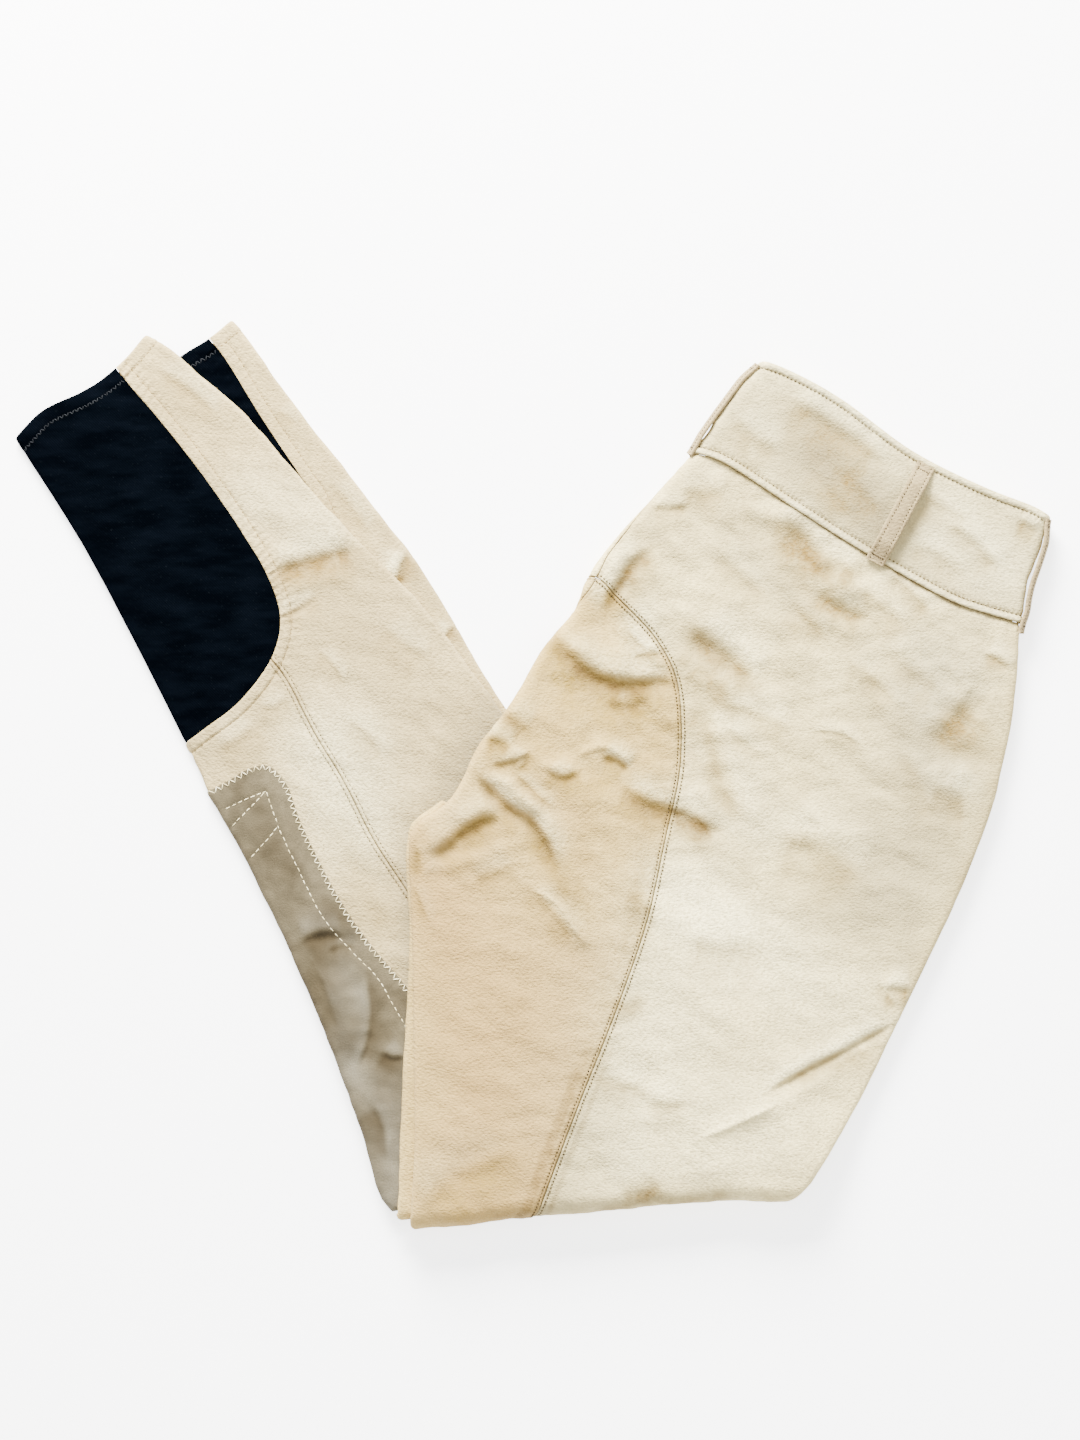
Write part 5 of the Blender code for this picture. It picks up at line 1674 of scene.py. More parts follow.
    def band_relief(self, plan: Array) -> Array:
        """Give the form of the waistband: a roll and a stitched groove along its top and its seam."""
        height = self.band_folds.height(plan)
        depth, width = self.groove_form
        ridge, behind, ridge_width = self.ridge_form
        for edge, way in self.band_edges:
            place, gap, _ = edge.nearest(plan)
            gap = gap * way
            height += self.rolled(gap)
            height -= depth * bell(gap - self.groove, width) * (0.3 + 0.7 * self.dimple(place))
            height += ridge * bell(gap - self.groove - behind, ridge_width)
        return height + 0.45 * self.ripples[0].at(plan) + 0.5 * self.ripples[1].at(plan)

    def seat_relief(self, plan: Array) -> Array:
        """Give the fine form of the seat and thigh panels."""
        height = self.crotch_folds.height(plan) + self.seat_folds.height(plan)
        for seam in self.seams:
            height += seam.relief(plan)
        place, gap, _ = self.band_edges[0][0].nearest(plan)
        depth, away, width = self.tuck_form
        height -= depth * bell(gap + away, width)
        height += 0.2 * np.sin(place / 2.1 + 1.5 * np.sin(place / 9.0)) * eased((14.0 + gap) / 12.0)
        past, _, _ = self.cloth.beyond(plan)
        calm = 1 - 0.85 * eased((past + 11.0) / 12.0)
        lively = calm * (0.65 + 0.40 * eased((plan[:, 1] + 100.0) / 120.0))
        for ripple in self.ripples:
            height += lively * ripple.at(plan)
        return height

    def marks(self, plan: Array) -> dict[str, Array]:
        """Give the marks that the finish reads: painted shade and highlight, and the cloth's own stains and
        tones.
        """
        dark = sum(seam.shade(plan) for seam in self.seams)
        # A painted highlight along the waistband's rolled edges.
        rubbed = np.zeros(len(plan))
        for edge, way in self.band_edges:
            place, gap, _ = edge.nearest(plan)
            # Painted shade in the stitch holes of the waistband's grooves.
            dark += self.groove_dark * bell(gap * way - self.groove, 0.75) * self.dimple(place)
            rubbed += self.roll_highlight * bell(gap * way - self.roll / 2, 1.2)
        # Painted shadow in the dip under the waistband's lower roll.
        dark += self.tuck_dark * bell(self.band_edges[0][0].outside(plan) + 0.5, 0.9)
        spots = {"stain_and_shade": stained(plan, self.stains_and_shade), "pale": stained(plan, self.pale),
                 "shade_and_tone": stained(plan, self.shade_and_tone)}
        # Painted shade of seams, grooves and folds, a few dark smudges, and the painted highlight of the
        # rolls.
        seams = {"trough": dark + stained(plan, self.grime_and_shade), "pale": rubbed}
        return joined_marks(seams, spots, self.crotch_folds.tints(plan), self.seat_folds.tints(plan),
                            self.band_folds.tints(plan))

    def build(self, stitcher: Stitcher) -> None:
        """Cut, lay, dress and stitch the panels."""
        ways = ((self.waist, 1), (self.top_edge, -1))
        rolls = [edge.thinned(1.4).offset(way * mark) for edge, way in ways for mark in ROLL_MARKS]
        dimples = [edge.thinned(0.62).offset(way * (self.groove + mark)) for edge, way in ways
                   for mark in (-0.6, 0.0, 0.6)]
        bends = [np.vstack(dimples), np.vstack(rolls), np.vstack([seam.bends(1.4) for seam in self.seams]),
                 self.crotch_folds.bends(), self.seat_folds.bends()]
        cuts = [self.waist, self.inner, self.centre]
        pattern = drafted(self.cloth, cuts, [self.top_edge], bends, self.step, low=(-90.0, -290.0),
                          high=(300.0, 240.0))
        middles = pattern.middles()
        below = self.waist.outside(middles) <= 0
        left = self.centre.outside(middles) < 0
        inner = self.inner.outside(middles) < 0
        band = Piece("waistband_cloth", "waistband", "waistband_cloth", Kind.BAND, self.cloth,
                     self.band_relief, rise=self.band_rise, wall=self.band_wall)
        panels = [
            Piece(name, node, slot, kind, self.cloth, self.seat_relief)
            for name, node, slot, kind in (
                ("right_seat_cloth", "right_seat_panel", "seat_cloth", Kind.SEAT),
                ("right_inner_thigh_cloth", "right_inner_panel", "inner_thigh_cloth", Kind.INNER),
                ("left_seat_cloth", "left_seat_edge", "seat_cloth", Kind.SEAT),
                ("left_inner_thigh_cloth", "left_inner_edge", "inner_thigh_cloth", Kind.INNER),
            )
        ]
        shares = (~below, below & ~left & ~inner, below & ~left & inner, below & left & ~inner,
                  below & left & inner)
        for piece, faces in zip([band, *panels], shares):
            piece.sew(pattern.cut(faces), cuts, self.marks)
        for side, name, piece in zip((1.0, -1.0), ("seat_topstitch", "inner_thigh_topstitch"), panels):
            row = Line(self.inner.offset(self.seams[0].rows[1] * side))
            ends = stitcher.spots(row, pitch=1.95, length=1.05, keep=self.on_seat)
            stitcher.run(name, piece, ends, Kind.SUNK_STITCH_SHADE, thick=1.05, seed=3)
        for (edge, way), name in zip(ways, ("waistband_seam_stitch", "waistband_top_stitch")):
            row = Line(edge.offset(way * self.groove))
            ends = stitcher.spots(row, self.dimple_pitch, length=1.4, keep=self.on_band)
            stitcher.run(name, band, ends, Kind.SUNK_STITCH_SHADE, thick=0.7, seed=4)
        for piece in (band, *panels):
            piece.declare()

    def on_seat(self, plan: Array) -> Array:
        """Tell which pattern points may carry the stitches of the right seat's seam."""
        flat = self.cloth.near_flat(plan) & (self.pile.knee.outside(plan) < 2.0)
        return flat & (self.centre.outside(plan) > 0.8) & (self.waist.outside(plan) < -1.0)

    def on_band(self, plan: Array) -> Array:
        """Tell which pattern points lie on the waistband's upper side."""
        flat = self.cloth.near_flat(plan, 1.3)
        return flat & (self.waist.outside(plan) > 1.0) & (self.top_edge.outside(plan) < -1.0)


@dataclass
class FarThigh:
    """The edge of the lower thigh, which stands out past the upper one and rolls with it at the knee.

    Attributes:
        pile: The pile that it is part of.
        turn: Radius of its turned edge, in mm.
        knee_radius: Radius of its roll at the knee, in mm.
        knee_end: How far it rolls there, in radians.
        step: How finely it is meshed, in mm.
        inner_end: Where it ends under the upper thigh.
        crotch_end: Where it ends at the crotch.
    """

    pile: Pile
    turn: float = 2.6
    knee_radius: float = 5.2
    knee_end: float = math.radians(88)
    step: float = 2.2
    inner_end: Route = ((-36, -20), (-55, -36), (-56.5, -80), (-55.5, -155), (-57, -215), (-58, -262))
    crotch_end: Route = ((-64, -6), (-36, -22))

    def top(self, plan: Array) -> Array:
        """Give the height of the cloth's upper face."""
        return self.pile.thigh_base(plan) + self.pile.thigh_tube - self.pile.seam_gap

    def build(self) -> None:
        """Cut, lay and dress the edge."""
        knee = Line(self.pile.knee.offset(self.knee_radius - self.pile.knee_radius))
        cloth = Cloth(self.top, [self.pile.far_thigh], self.turn, knee, self.knee_radius, self.knee_end)
        ends = [cut_line(self.inner_end, self.step, before=30.0, after=30.0),
                cut_line(self.crotch_end, self.step, before=20.0, after=40.0)]
        pattern = drafted(cloth, [], ends, [], self.step, low=(-95.0, -290.0), high=(-30.0, 10.0))
        ripple = Ripple(5, height=0.2, longest=40.0, shortest=9.0, lean=0.0)
        piece = Piece("left_thigh_cloth", "left_thigh_edge", "inner_thigh_cloth", Kind.INNER, cloth,
                      ripple.at)
        piece.sew(pattern, [], plain_marks)
        piece.declare()


def plain_marks(plan: Array) -> dict[str, Array]:
    """Give the marks of cloth with no painted shade or highlight and no stains."""
    return {name: np.zeros(len(plan)) for name in ("trough", "stain_and_shade", "pale")}


# ---------------------------------------------------------------- lower legs


UNDER_THIGH: Route = ((14, 66), (-2, 40), (-15, 22), (-24, 6), (-34, -12), (-47, -30), (-52, -50),
                      (-51, -100), (-50, -160), (-50, -215), (-51, -252))


@dataclass
class Leg:
    """What both lower legs share. Sizes in mm.

    Attributes:
        pile: The pile that it is part of.
        turn: Radius of its turned edges.
        hem: From the cuff to the hem's stitching.
        calf_hem: How much further in the stretch panel's stitching lies.
        hem_rise: How far the doubled hem stands up.
        hem_dip: How far its stitching sinks in.
        cuff_round: How far the cuff's edge is rounded down, and how far in from the edge that starts.
        topstitch: From the calf seam to the row beside it.
        step: How finely it is meshed.
    """

    pile: Pile
    turn: float = 2.45
    hem: float = 7.2
    calf_hem: float = 0.8
    hem_rise: float = 0.35
    hem_dip: float = 0.25
    cuff_round: Row = (0.75, 1.3)
    topstitch: float = 6.3
    step: float = 1.7

    def draw(self, cuff: Route, calf: Route, above: float, below: float) -> None:
        """Draw the cuff and the calf seam, which runs on past its ends."""
        self.cuff = cut_line(cuff, self.step, before=20.0, after=20.0)
        self.calf = cut_line(calf, self.step, before=above, after=below)

    def hem_relief(self, plan: Array, more: float = 0.0) -> Array:
        """Give the form of the turned-up hem.

        Args:
            plan: The pattern points.
            more: How much further in than usual its stitching lies.

        Returns:
            The height that it adds.
        """
        width = self.hem + more
        drop, start = self.cuff_round
        place, gap, _ = self.cuff.nearest(plan)
        height = self.hem_rise * eased((width + 0.6 + gap) / 1.2) - drop * rounded(-gap / start)
        height -= self.hem_dip * bell(-gap - width, 0.7)
        return height + 0.12 * np.sin(place / 1.7 + 2 * np.sin(place / 7.0)) * eased((width + 3 + gap) / 3.0)

    def hem_bends(self) -> Array:
        """Give pattern points along the hem, where the cloth bends most."""
        cuff = self.cuff.thinned(1.5)
        return np.vstack([cuff.offset(-mark) for mark in HEM_MARKS])

    def shows(self, plan: Array) -> Array:
        """Tell which pattern points lie on the part of the leg that shows from above."""
        found = self.cloth.near_flat(plan)
        for end in self.ends:
            found &= end.outside(plan) < -1.0
        return found

    def on_calf(self, plan: Array) -> Array:
        """Tell which pattern points may carry the stitches of the stretch panel."""
        return self.shows(plan) & (self.calf.outside(plan) < -1.0)

    def on_leg(self, plan: Array) -> Array:
        """Tell which pattern points may carry the stitches of the beige panels."""
        return self.shows(plan) & (self.calf.outside(plan) > 1.0)

    def stitch_ends(self, stitcher: Stitcher, side: str, outer: Piece, calf: Piece, thick: float, seed: int
                    ) -> None:
        """Sew the hem of the outer panel and the zigzag of the stretch panel's hem.

        Args:
            stitcher: Lays the stitches.
            side: Start of the rows' names.
            outer: The outer panel.
            calf: The stretch panel.
            thick: Thickness of the zigzag's thread.
            seed: Start of the chance differences of the hem; the zigzag takes the next.
        """
        ends = stitcher.spots(Line(self.cuff.offset(-self.hem)), pitch=2.6, length=1.7, keep=self.on_leg)
        stitcher.run(side + "_hem_stitch", outer, ends, Kind.CREAM_THREAD, thick=0.5, seed=seed)
        row = Line(self.cuff.offset(-self.hem - self.calf_hem))
        ends = stitcher.zigzag(row, pitch=3.0, inner=-1.2, outer=1.2, keep=self.on_calf)
        stitcher.run(side + "_calf_hem_zigzag", calf, ends, Kind.NAVY_THREAD, thick, seed + 1)


@dataclass
class LeftLeg(Leg):
    """The left lower leg, which lies on the right one.

    Attributes:
        patch_turn: How far the knee patch goes round the back edge, in radians.
        shin_row: From the shin seam to the row on each side.
        patch_row: The row across the patch's upper end, as the next two are its other rows.
        folds: The folds that all layers share; rows as Folds reads them, as in the next two.
        patch_creases: The creases of the patch.
        leg_creases: Those of the beige panels.
        yellowed_and_shade: Yellowed spots, and painted shade in a calf fold; rows as stained reads them, as
            in the next four.
        grime_and_shade: Painted shade in the calf's folds.
        rubbed: Spots that are rubbed pale.
        patch_dark: Dark spots of the patch.
        patch_worn: Spots where it is worn.
    """

    patch_turn: float = math.radians(112.5)
    shin_row: float = 2.2
    calf_seam: Route = ((-234, 229), (-218.7, 209.5), (-202.5, 190.6), (-180.9, 163.1), (-159.3, 131.8),
                        (-144.2, 105.8), (-137.9, 84.2), (-142, 64.3), (-159.3, 40), (-180.9, 23.2),
                        (-198, 10.5))
    shin_seam: Route = ((-150, 71.5), (-143.1, 62.6), (-134.5, 51.3), (-119.9, 23.2), (-103.1, -4.6),
                        (-88, -34.4), (-67.5, -65.9), (-48, -96))
    patch_edge: Route = ((-184, -13), (-166.3, -3.8), (-155, 2.7), (-144.7, 4.6), (-134.5, -5.4),
                         (-127.1, -25.1), (-106.7, -65.9), (-91.8, -88.3), (-68.6, -116.1), (-50, -140))
    patch_row: Route = ((-167.9, -19.2), (-156, -13.5), (-145.3, -9.2))
    patch_long_row: Route = ((-145.3, -9.2), (-138.8, -28.5), (-129.1, -49.1), (-113.9, -78.8),
                             (-99.4, -95.6), (-86.4, -108.8), (-75.1, -127.4), (-62, -152))
    patch_slants: tuple = (((-164.2, -28.6), (-145.3, -9.2)), ((-153.9, -45.4), (-138.8, -28.5)))
    folds: tuple = (
        (-1.2, 6, -140.4, 109.1, -116.1, 116.6, -94.5, 123.7),
        (-1, 5.5, -135, 87.5, -121.5, 94),
        (-1.5, 5, -121.5, -90.2, -95.6, -90.2),
        (1.5, 7, -113.9, -104.8, -91.8, -160.9),
        (-1.5, 5, -91.8, -136.6, -95.6, -160.9),
    )
    patch_creases: tuple = (
        (-1, 2.5, -126, -92, -116, -88, -104, -88),
        (-0.6, 2, -112, -97, -104, -94, -97, -95),
        (-0.9, 1.9, -90, -107, -87, -128, -90, -148, -96, -160),
        (0.9, 5, -112, -108, -102, -130, -98, -150),
        (-1.1, 2.2, -84, -151, -77, -155, -70, -154),
        (-0.5, 1.8, -120, -104, -113, -122, -107, -140),
        (-0.8, 2.4, -90, -178, -84, -192, -82, -210),
        (0.6, 2.4, -84, -168, -79, -184, -78, -204),
    )
    leg_creases: tuple = (
        (-0.9, 3.2, -141, 107, -128, 112, -112, 116, -97, 120),
        (0.5, 3, -134, 100, -118, 104, -100, 106),
        (-0.6, 2, -138, 84, -128, 88, -116, 96),
        (-0.4, 1.5, -118, 66, -110, 58, -104, 48),
        (-0.4, 2.5, -103, 28, -92, 20, -84, 6),
        (-0.5, 2.5, -206, 218, -188, 206, -172, 192),
        (0.5, 4, -150, 150, -132, 136, -118, 124),
        (-0.4, 3, -84, 78, -70, 66, -58, 60),
        (-0.5, 3, -172, 12, -160, 16, -148, 26),
        (-0.4, 2, -150, 36, -142, 34, -132, 40),
    )
    yellowed_and_shade: tuple = ((0.3, 9, -104, -30, -94, -58, -84, -80), (0.4, 9, -136, 108, -104, 113))
    grime_and_shade: tuple = ((0.28, 6, -137, 110, -120, 114, -104, 118), (0.2, 9, -96, 118, -82, 110))
    rubbed: tuple = ((0.75, 26, -112, 14, -98, -26), (0.4, 20, -150, 150, -118, 140))
    patch_dark: tuple = (
        (0.3, 8, -80, -158, -82, -186),
        (0.24, 8, -124, -92, -106, -90),
        (0.25, 12, -140, -40, -128, -70),
    )
    patch_worn: tuple = (
        (0.45, 9, -106, -104, -98, -124),
        (0.6, 16, -82, -176, -76, -226),
        (0.5, 5, -80, -204, -78, -230),
        (0.8, 8, -104, -142, -98, -166),
    )

    def __post_init__(self) -> None:
        """Draw the seams and the cloth."""
        self.main_folds = Folds(self.folds)
        self.fine_folds = Folds(self.leg_creases, step=3.0, gain=1.2, bulge=0.8)
        self.patch_folds = Folds(self.patch_creases, step=3.0, gain=1.1, bulge=0.6, tint=0.28)
        self.draw(self.pile.left_cuff, self.calf_seam, above=15.0, below=15.0)
        self.shin = cut_line(self.shin_seam, self.step)
        self.patch = cut_line(self.patch_edge, self.step, before=15.0)
        self.ends = [self.cuff, cut_line(UNDER_THIGH, self.step, after=20.0)]
        self.patch_rows = [self.patch_row, self.patch_long_row, *self.patch_slants]
        self.cloth = Cloth(self.top, [self.pile.left_front, self.pile.left_back], self.turn)
        self.seams = [
            Seam(self.shin, rows=(-self.shin_row, self.shin_row), dark=0.5),
            Seam(self.calf, rows=(self.topstitch,), notch=-0.1, puff=0.4, pucker=0.5, pitch=4.2, row_dip=0.35,
                 dark=0.0, row_dark=0.2),
        ]
        self.ripple = Ripple(7, height=0.5, longest=40.0, shortest=8.0, lean=-55.0)
        self.patch_ripple = Ripple(9, height=0.5, longest=22.0, shortest=7.0, lean=20.0, spread=90.0)

    def top(self, plan: Array) -> Array:
        """Give the height of the cloth's upper face."""
        return self.pile.shin_base(plan) + self.pile.shin_tube + self.main_folds.height(plan)

    def leg_relief(self, plan: Array) -> Array:
        """Give the fine form of the beige panels."""
        height = self.fine_folds.height(plan) + self.hem_relief(plan) + self.ripple.at(plan)
        return height + sum(seam.relief(plan) for seam in self.seams)

    def calf_relief(self, plan: Array) -> Array:
        """Give the fine form of the stretch panel."""
        height = 0.12 * self.ripple.at(plan) + self.hem_relief(plan, self.calf_hem)
        return height - 0.25 * bell(self.calf.outside(plan), 1.6)

    def patch_relief(self, plan: Array) -> Array:
        """Give the fine form of the knee patch."""
        height = self.patch_folds.height(plan) + 0.5 * self.ripple.at(plan)
        height -= 0.35 * (1 - eased(-self.patch.outside(plan) / 1.2))
        for route in self.patch_rows:
            height -= 0.3 * bell(Line(smooth_line(route, 3.0)).outside(plan), 0.8)
        return height + 0.4 * self.patch_ripple.at(plan)

    def marks(self, plan: Array) -> dict[str, Array]:
        """Give the marks that the finish reads on the leg, with painted shade in its folds and seams and
        beside the thigh.
        """
        # A painted shadow on the leg along the thigh's edge, fading over 30 mm.
        away = -self.ends[1].outside(plan)
        own = {"trough": sum(seam.shade(plan) for seam in self.seams) + stained(plan, self.grime_and_shade),
               "stain_and_shade": stained(plan, self.yellowed_and_shade), "pale": stained(plan, self.rubbed),
               "shade_and_tone": 0.75 * eased(1 - (away - 4.0) / 30.0)}
        return joined_marks(own, self.fine_folds.tints(plan))

    def patch_marks(self, plan: Array) -> dict[str, Array]:
        """Give the marks that the finish reads on the patch, with painted shade and highlight at its creases.
        """
        own = {"stain_and_shade": stained(plan, self.patch_dark), "pale": stained(plan, self.patch_worn)}
        return joined_marks(own, self.patch_folds.tints(plan))

    def build(self, stitcher: Stitcher) -> None:
        """Cut, lay, dress and stitch the panels."""
        rows = [Line(smooth_line(route, 1.5)) for route in self.patch_rows]
        bends = [self.hem_bends(), np.vstack([seam.bends(1.3) for seam in self.seams]),
                 self.fine_folds.bends(), self.patch_folds.bends(),
                 np.vstack([row.offset(mark) for row in rows for mark in (-0.9, 0.0, 0.9)])]
        pattern = drafted(self.cloth, [self.calf, self.shin, self.patch], self.ends, bends, self.step,
                          low=(-300.0, -260.0), high=(0.0, 250.0))
        middles = pattern.middles()
        in_calf = self.calf.outside(middles) < 0
        in_outer = self.shin.outside(middles) > 0
        in_patch = (self.patch.outside(middles) < 0) & self.cloth.near_flat(middles, self.patch_turn)
        cloth, suede = self.cloth, self.pile.suede
        calf = Piece("left_calf_cloth", "left_calf_stretch", "stretch_cloth", Kind.STRETCH, cloth,
                     self.calf_relief)
        outer = Piece("left_outer_leg_cloth", "left_outer_leg", "leg_cloth", Kind.LEG, cloth, self.leg_relief)
        inner = Piece("left_inner_leg_cloth", "left_inner_leg", "leg_cloth", Kind.LEG, cloth, self.leg_relief)
        patch = Piece("left_knee_suede", "left_knee_patch", "suede_patch", Kind.SUEDE, cloth,
                      self.patch_relief, rise=self.pile.seam_gap + suede, wall=suede,
                      rests_on=("left_inner_leg_cloth",))
        seams = [self.calf, self.shin]
        calf.sew(pattern.cut(in_calf), seams, plain_marks)
        outer.sew(pattern.cut(~in_calf & in_outer), seams, self.marks)
        inner.sew(pattern.cut(~in_calf & ~in_outer), seams, self.marks)
        patch.sew(pattern.cut(in_patch), [], self.patch_marks)
        for piece, name, line, thread in (
            (outer, "left_shin_topstitch_outer", self.shin.offset(self.shin_row), Kind.SUNK_STITCH_SHADE),
            (inner, "left_shin_topstitch_inner", self.shin.offset(-self.shin_row), Kind.SUNK_STITCH_SHADE),
            (outer, "left_calf_topstitch", self.calf.offset(self.topstitch), Kind.CREAM_THREAD),
        ):
            ends = stitcher.spots(Line(line), pitch=2.4, length=1.3, keep=self.on_leg)
            stitcher.run(name, piece, ends, thread, thick=0.6, seed=5)
        self.stitch_ends(stitcher, "left", outer, calf, thick=0.55, seed=6)
        edge = self.patch.thinned(0.5)
        ends = stitcher.zigzag(edge, pitch=4.0, inner=-2.8, outer=0.3, keep=self.on_patch)
        stitcher.run("left_patch_zigzag", patch, ends, Kind.WHITE_THREAD, thick=0.62, seed=8)
        fine = [Line(smooth_line(route, 1.0)) for route in self.patch_rows]
        spots = [stitcher.spots(row, pitch=3.7, length=2.9, keep=self.on_patch) for row in fine]
        ends = tuple(np.vstack(part) for part in zip(*spots))
        stitcher.run("left_patch_stitch", patch, ends, Kind.WHITE_THREAD, thick=0.62, seed=9)
        for piece in (calf, outer, inner, patch):
            piece.declare()

    def on_leg(self, plan: Array) -> Array:
        """Tell which pattern points may carry the stitches of the beige panels."""
        return super().on_leg(plan) & (self.patch.outside(plan) > 0.0)

    def on_patch(self, plan: Array) -> Array:
        """Tell which pattern points may carry the stitches of the patch."""
        return self.shows(plan) & (self.patch.outside(plan) < 1.0)


@dataclass
class RightLeg(Leg):
    """The strip of the right lower leg that shows beside the left one.

    Attributes:
        under_left: Where it ends under the left leg.
        creases: Its creases; rows as Folds reads them.
    """

    step: float = 1.8
    calf_seam: Route = ((-184, 244), (-170.1, 227.9), (-148.5, 193.3), (-126.9, 160.9), (-118, 147.5),
                        (-112, 130))
    under_left: Route = ((-20, 8), (-40, 38), (-72.5, 82.4), (-115.7, 127.2), (-148, 163.4), (-173.5, 190.9),
                         (-191.3, 205.5), (-215, 221), (-232, 236))
    creases: tuple = (
        (-1.2, 2.5, -68, 119, -72, 110, -72, 101),
        (-0.8, 3, -84, 108, -76, 104, -70, 103),
        (-0.8, 2, -43, 80, -48, 72),
        (-0.5, 2.5, -112, 156, -100, 142, -92, 130),
        (-0.4, 2, -140, 196, -130, 188),
    )

    def __post_init__(self) -> None:
        """Draw the seams and the cloth."""
        self.folds = Folds(self.creases, step=3.0, bulge=0.6)
        self.draw(self.pile.right_cuff, self.calf_seam, above=10.0, below=40.0)
        self.ends = [self.cuff, cut_line(self.under_left, self.step), cut_line(UNDER_THIGH, self.step)]
        self.cloth = Cloth(self.top, [self.pile.right_front], self.turn)
        self.seam = Seam(self.calf, rows=(self.topstitch,), notch=-0.1, pucker=0.25, pitch=4.4, row_dip=0.45,
                         dark=0.0, row_dark=0.2)
        self.ripple = Ripple(11, height=0.35, longest=40.0, shortest=9.0, lean=-50.0)

    def top(self, plan: Array) -> Array:
        """Give the height of the cloth's upper face."""
        return np.full(len(plan), self.pile.shin_tube)

    def relief(self, plan: Array) -> Array:
        """Give the fine form of the panels."""
        return (self.folds.height(plan) + self.hem_relief(plan) + self.ripple.at(plan)
                + self.seam.relief(plan))

    def marks(self, plan: Array) -> dict[str, Array]:
        """Give the marks that the finish reads: painted shadow beside the left leg and painted shade in the
        folds.
        """
        # A painted shadow along the left leg's edge, fading over 14 mm.
        near = -self.ends[1].outside(plan)
        return joined_marks({"shade_and_tone": 0.45 * eased(1 - near / 14.0)}, self.folds.tints(plan))

    def build(self, stitcher: Stitcher) -> None:
        """Cut, lay, dress and stitch the panels."""
        bends = [self.hem_bends(), self.seam.bends(1.3), self.folds.bends()]
        pattern = drafted(self.cloth, [self.calf], self.ends, bends, self.step, low=(-245.0, -20.0),
                          high=(20.0, 260.0))
        in_calf = self.calf.outside(pattern.middles()) < 0
        calf = Piece("right_calf_cloth", "right_calf_stretch", "stretch_cloth", Kind.STRETCH, self.cloth,
                     self.relief)
        outer = Piece("right_outer_leg_cloth", "right_outer_leg", "leg_cloth", Kind.LEG, self.cloth,
                      self.relief)
        for piece, faces in ((calf, in_calf), (outer, ~in_calf)):
            piece.sew(pattern.cut(faces), [self.calf], self.marks)
        row = Line(self.calf.offset(self.topstitch))
        ends = stitcher.spots(row, pitch=2.4, length=1.3, keep=self.on_leg)
        stitcher.run("right_calf_topstitch", outer, ends, Kind.CREAM_THREAD, thick=0.6, seed=10)
        self.stitch_ends(stitcher, "right", outer, calf, thick=0.5, seed=11)
        for piece in (calf, outer):
            piece.declare()


# ---------------------------------------------------------------- belt loops


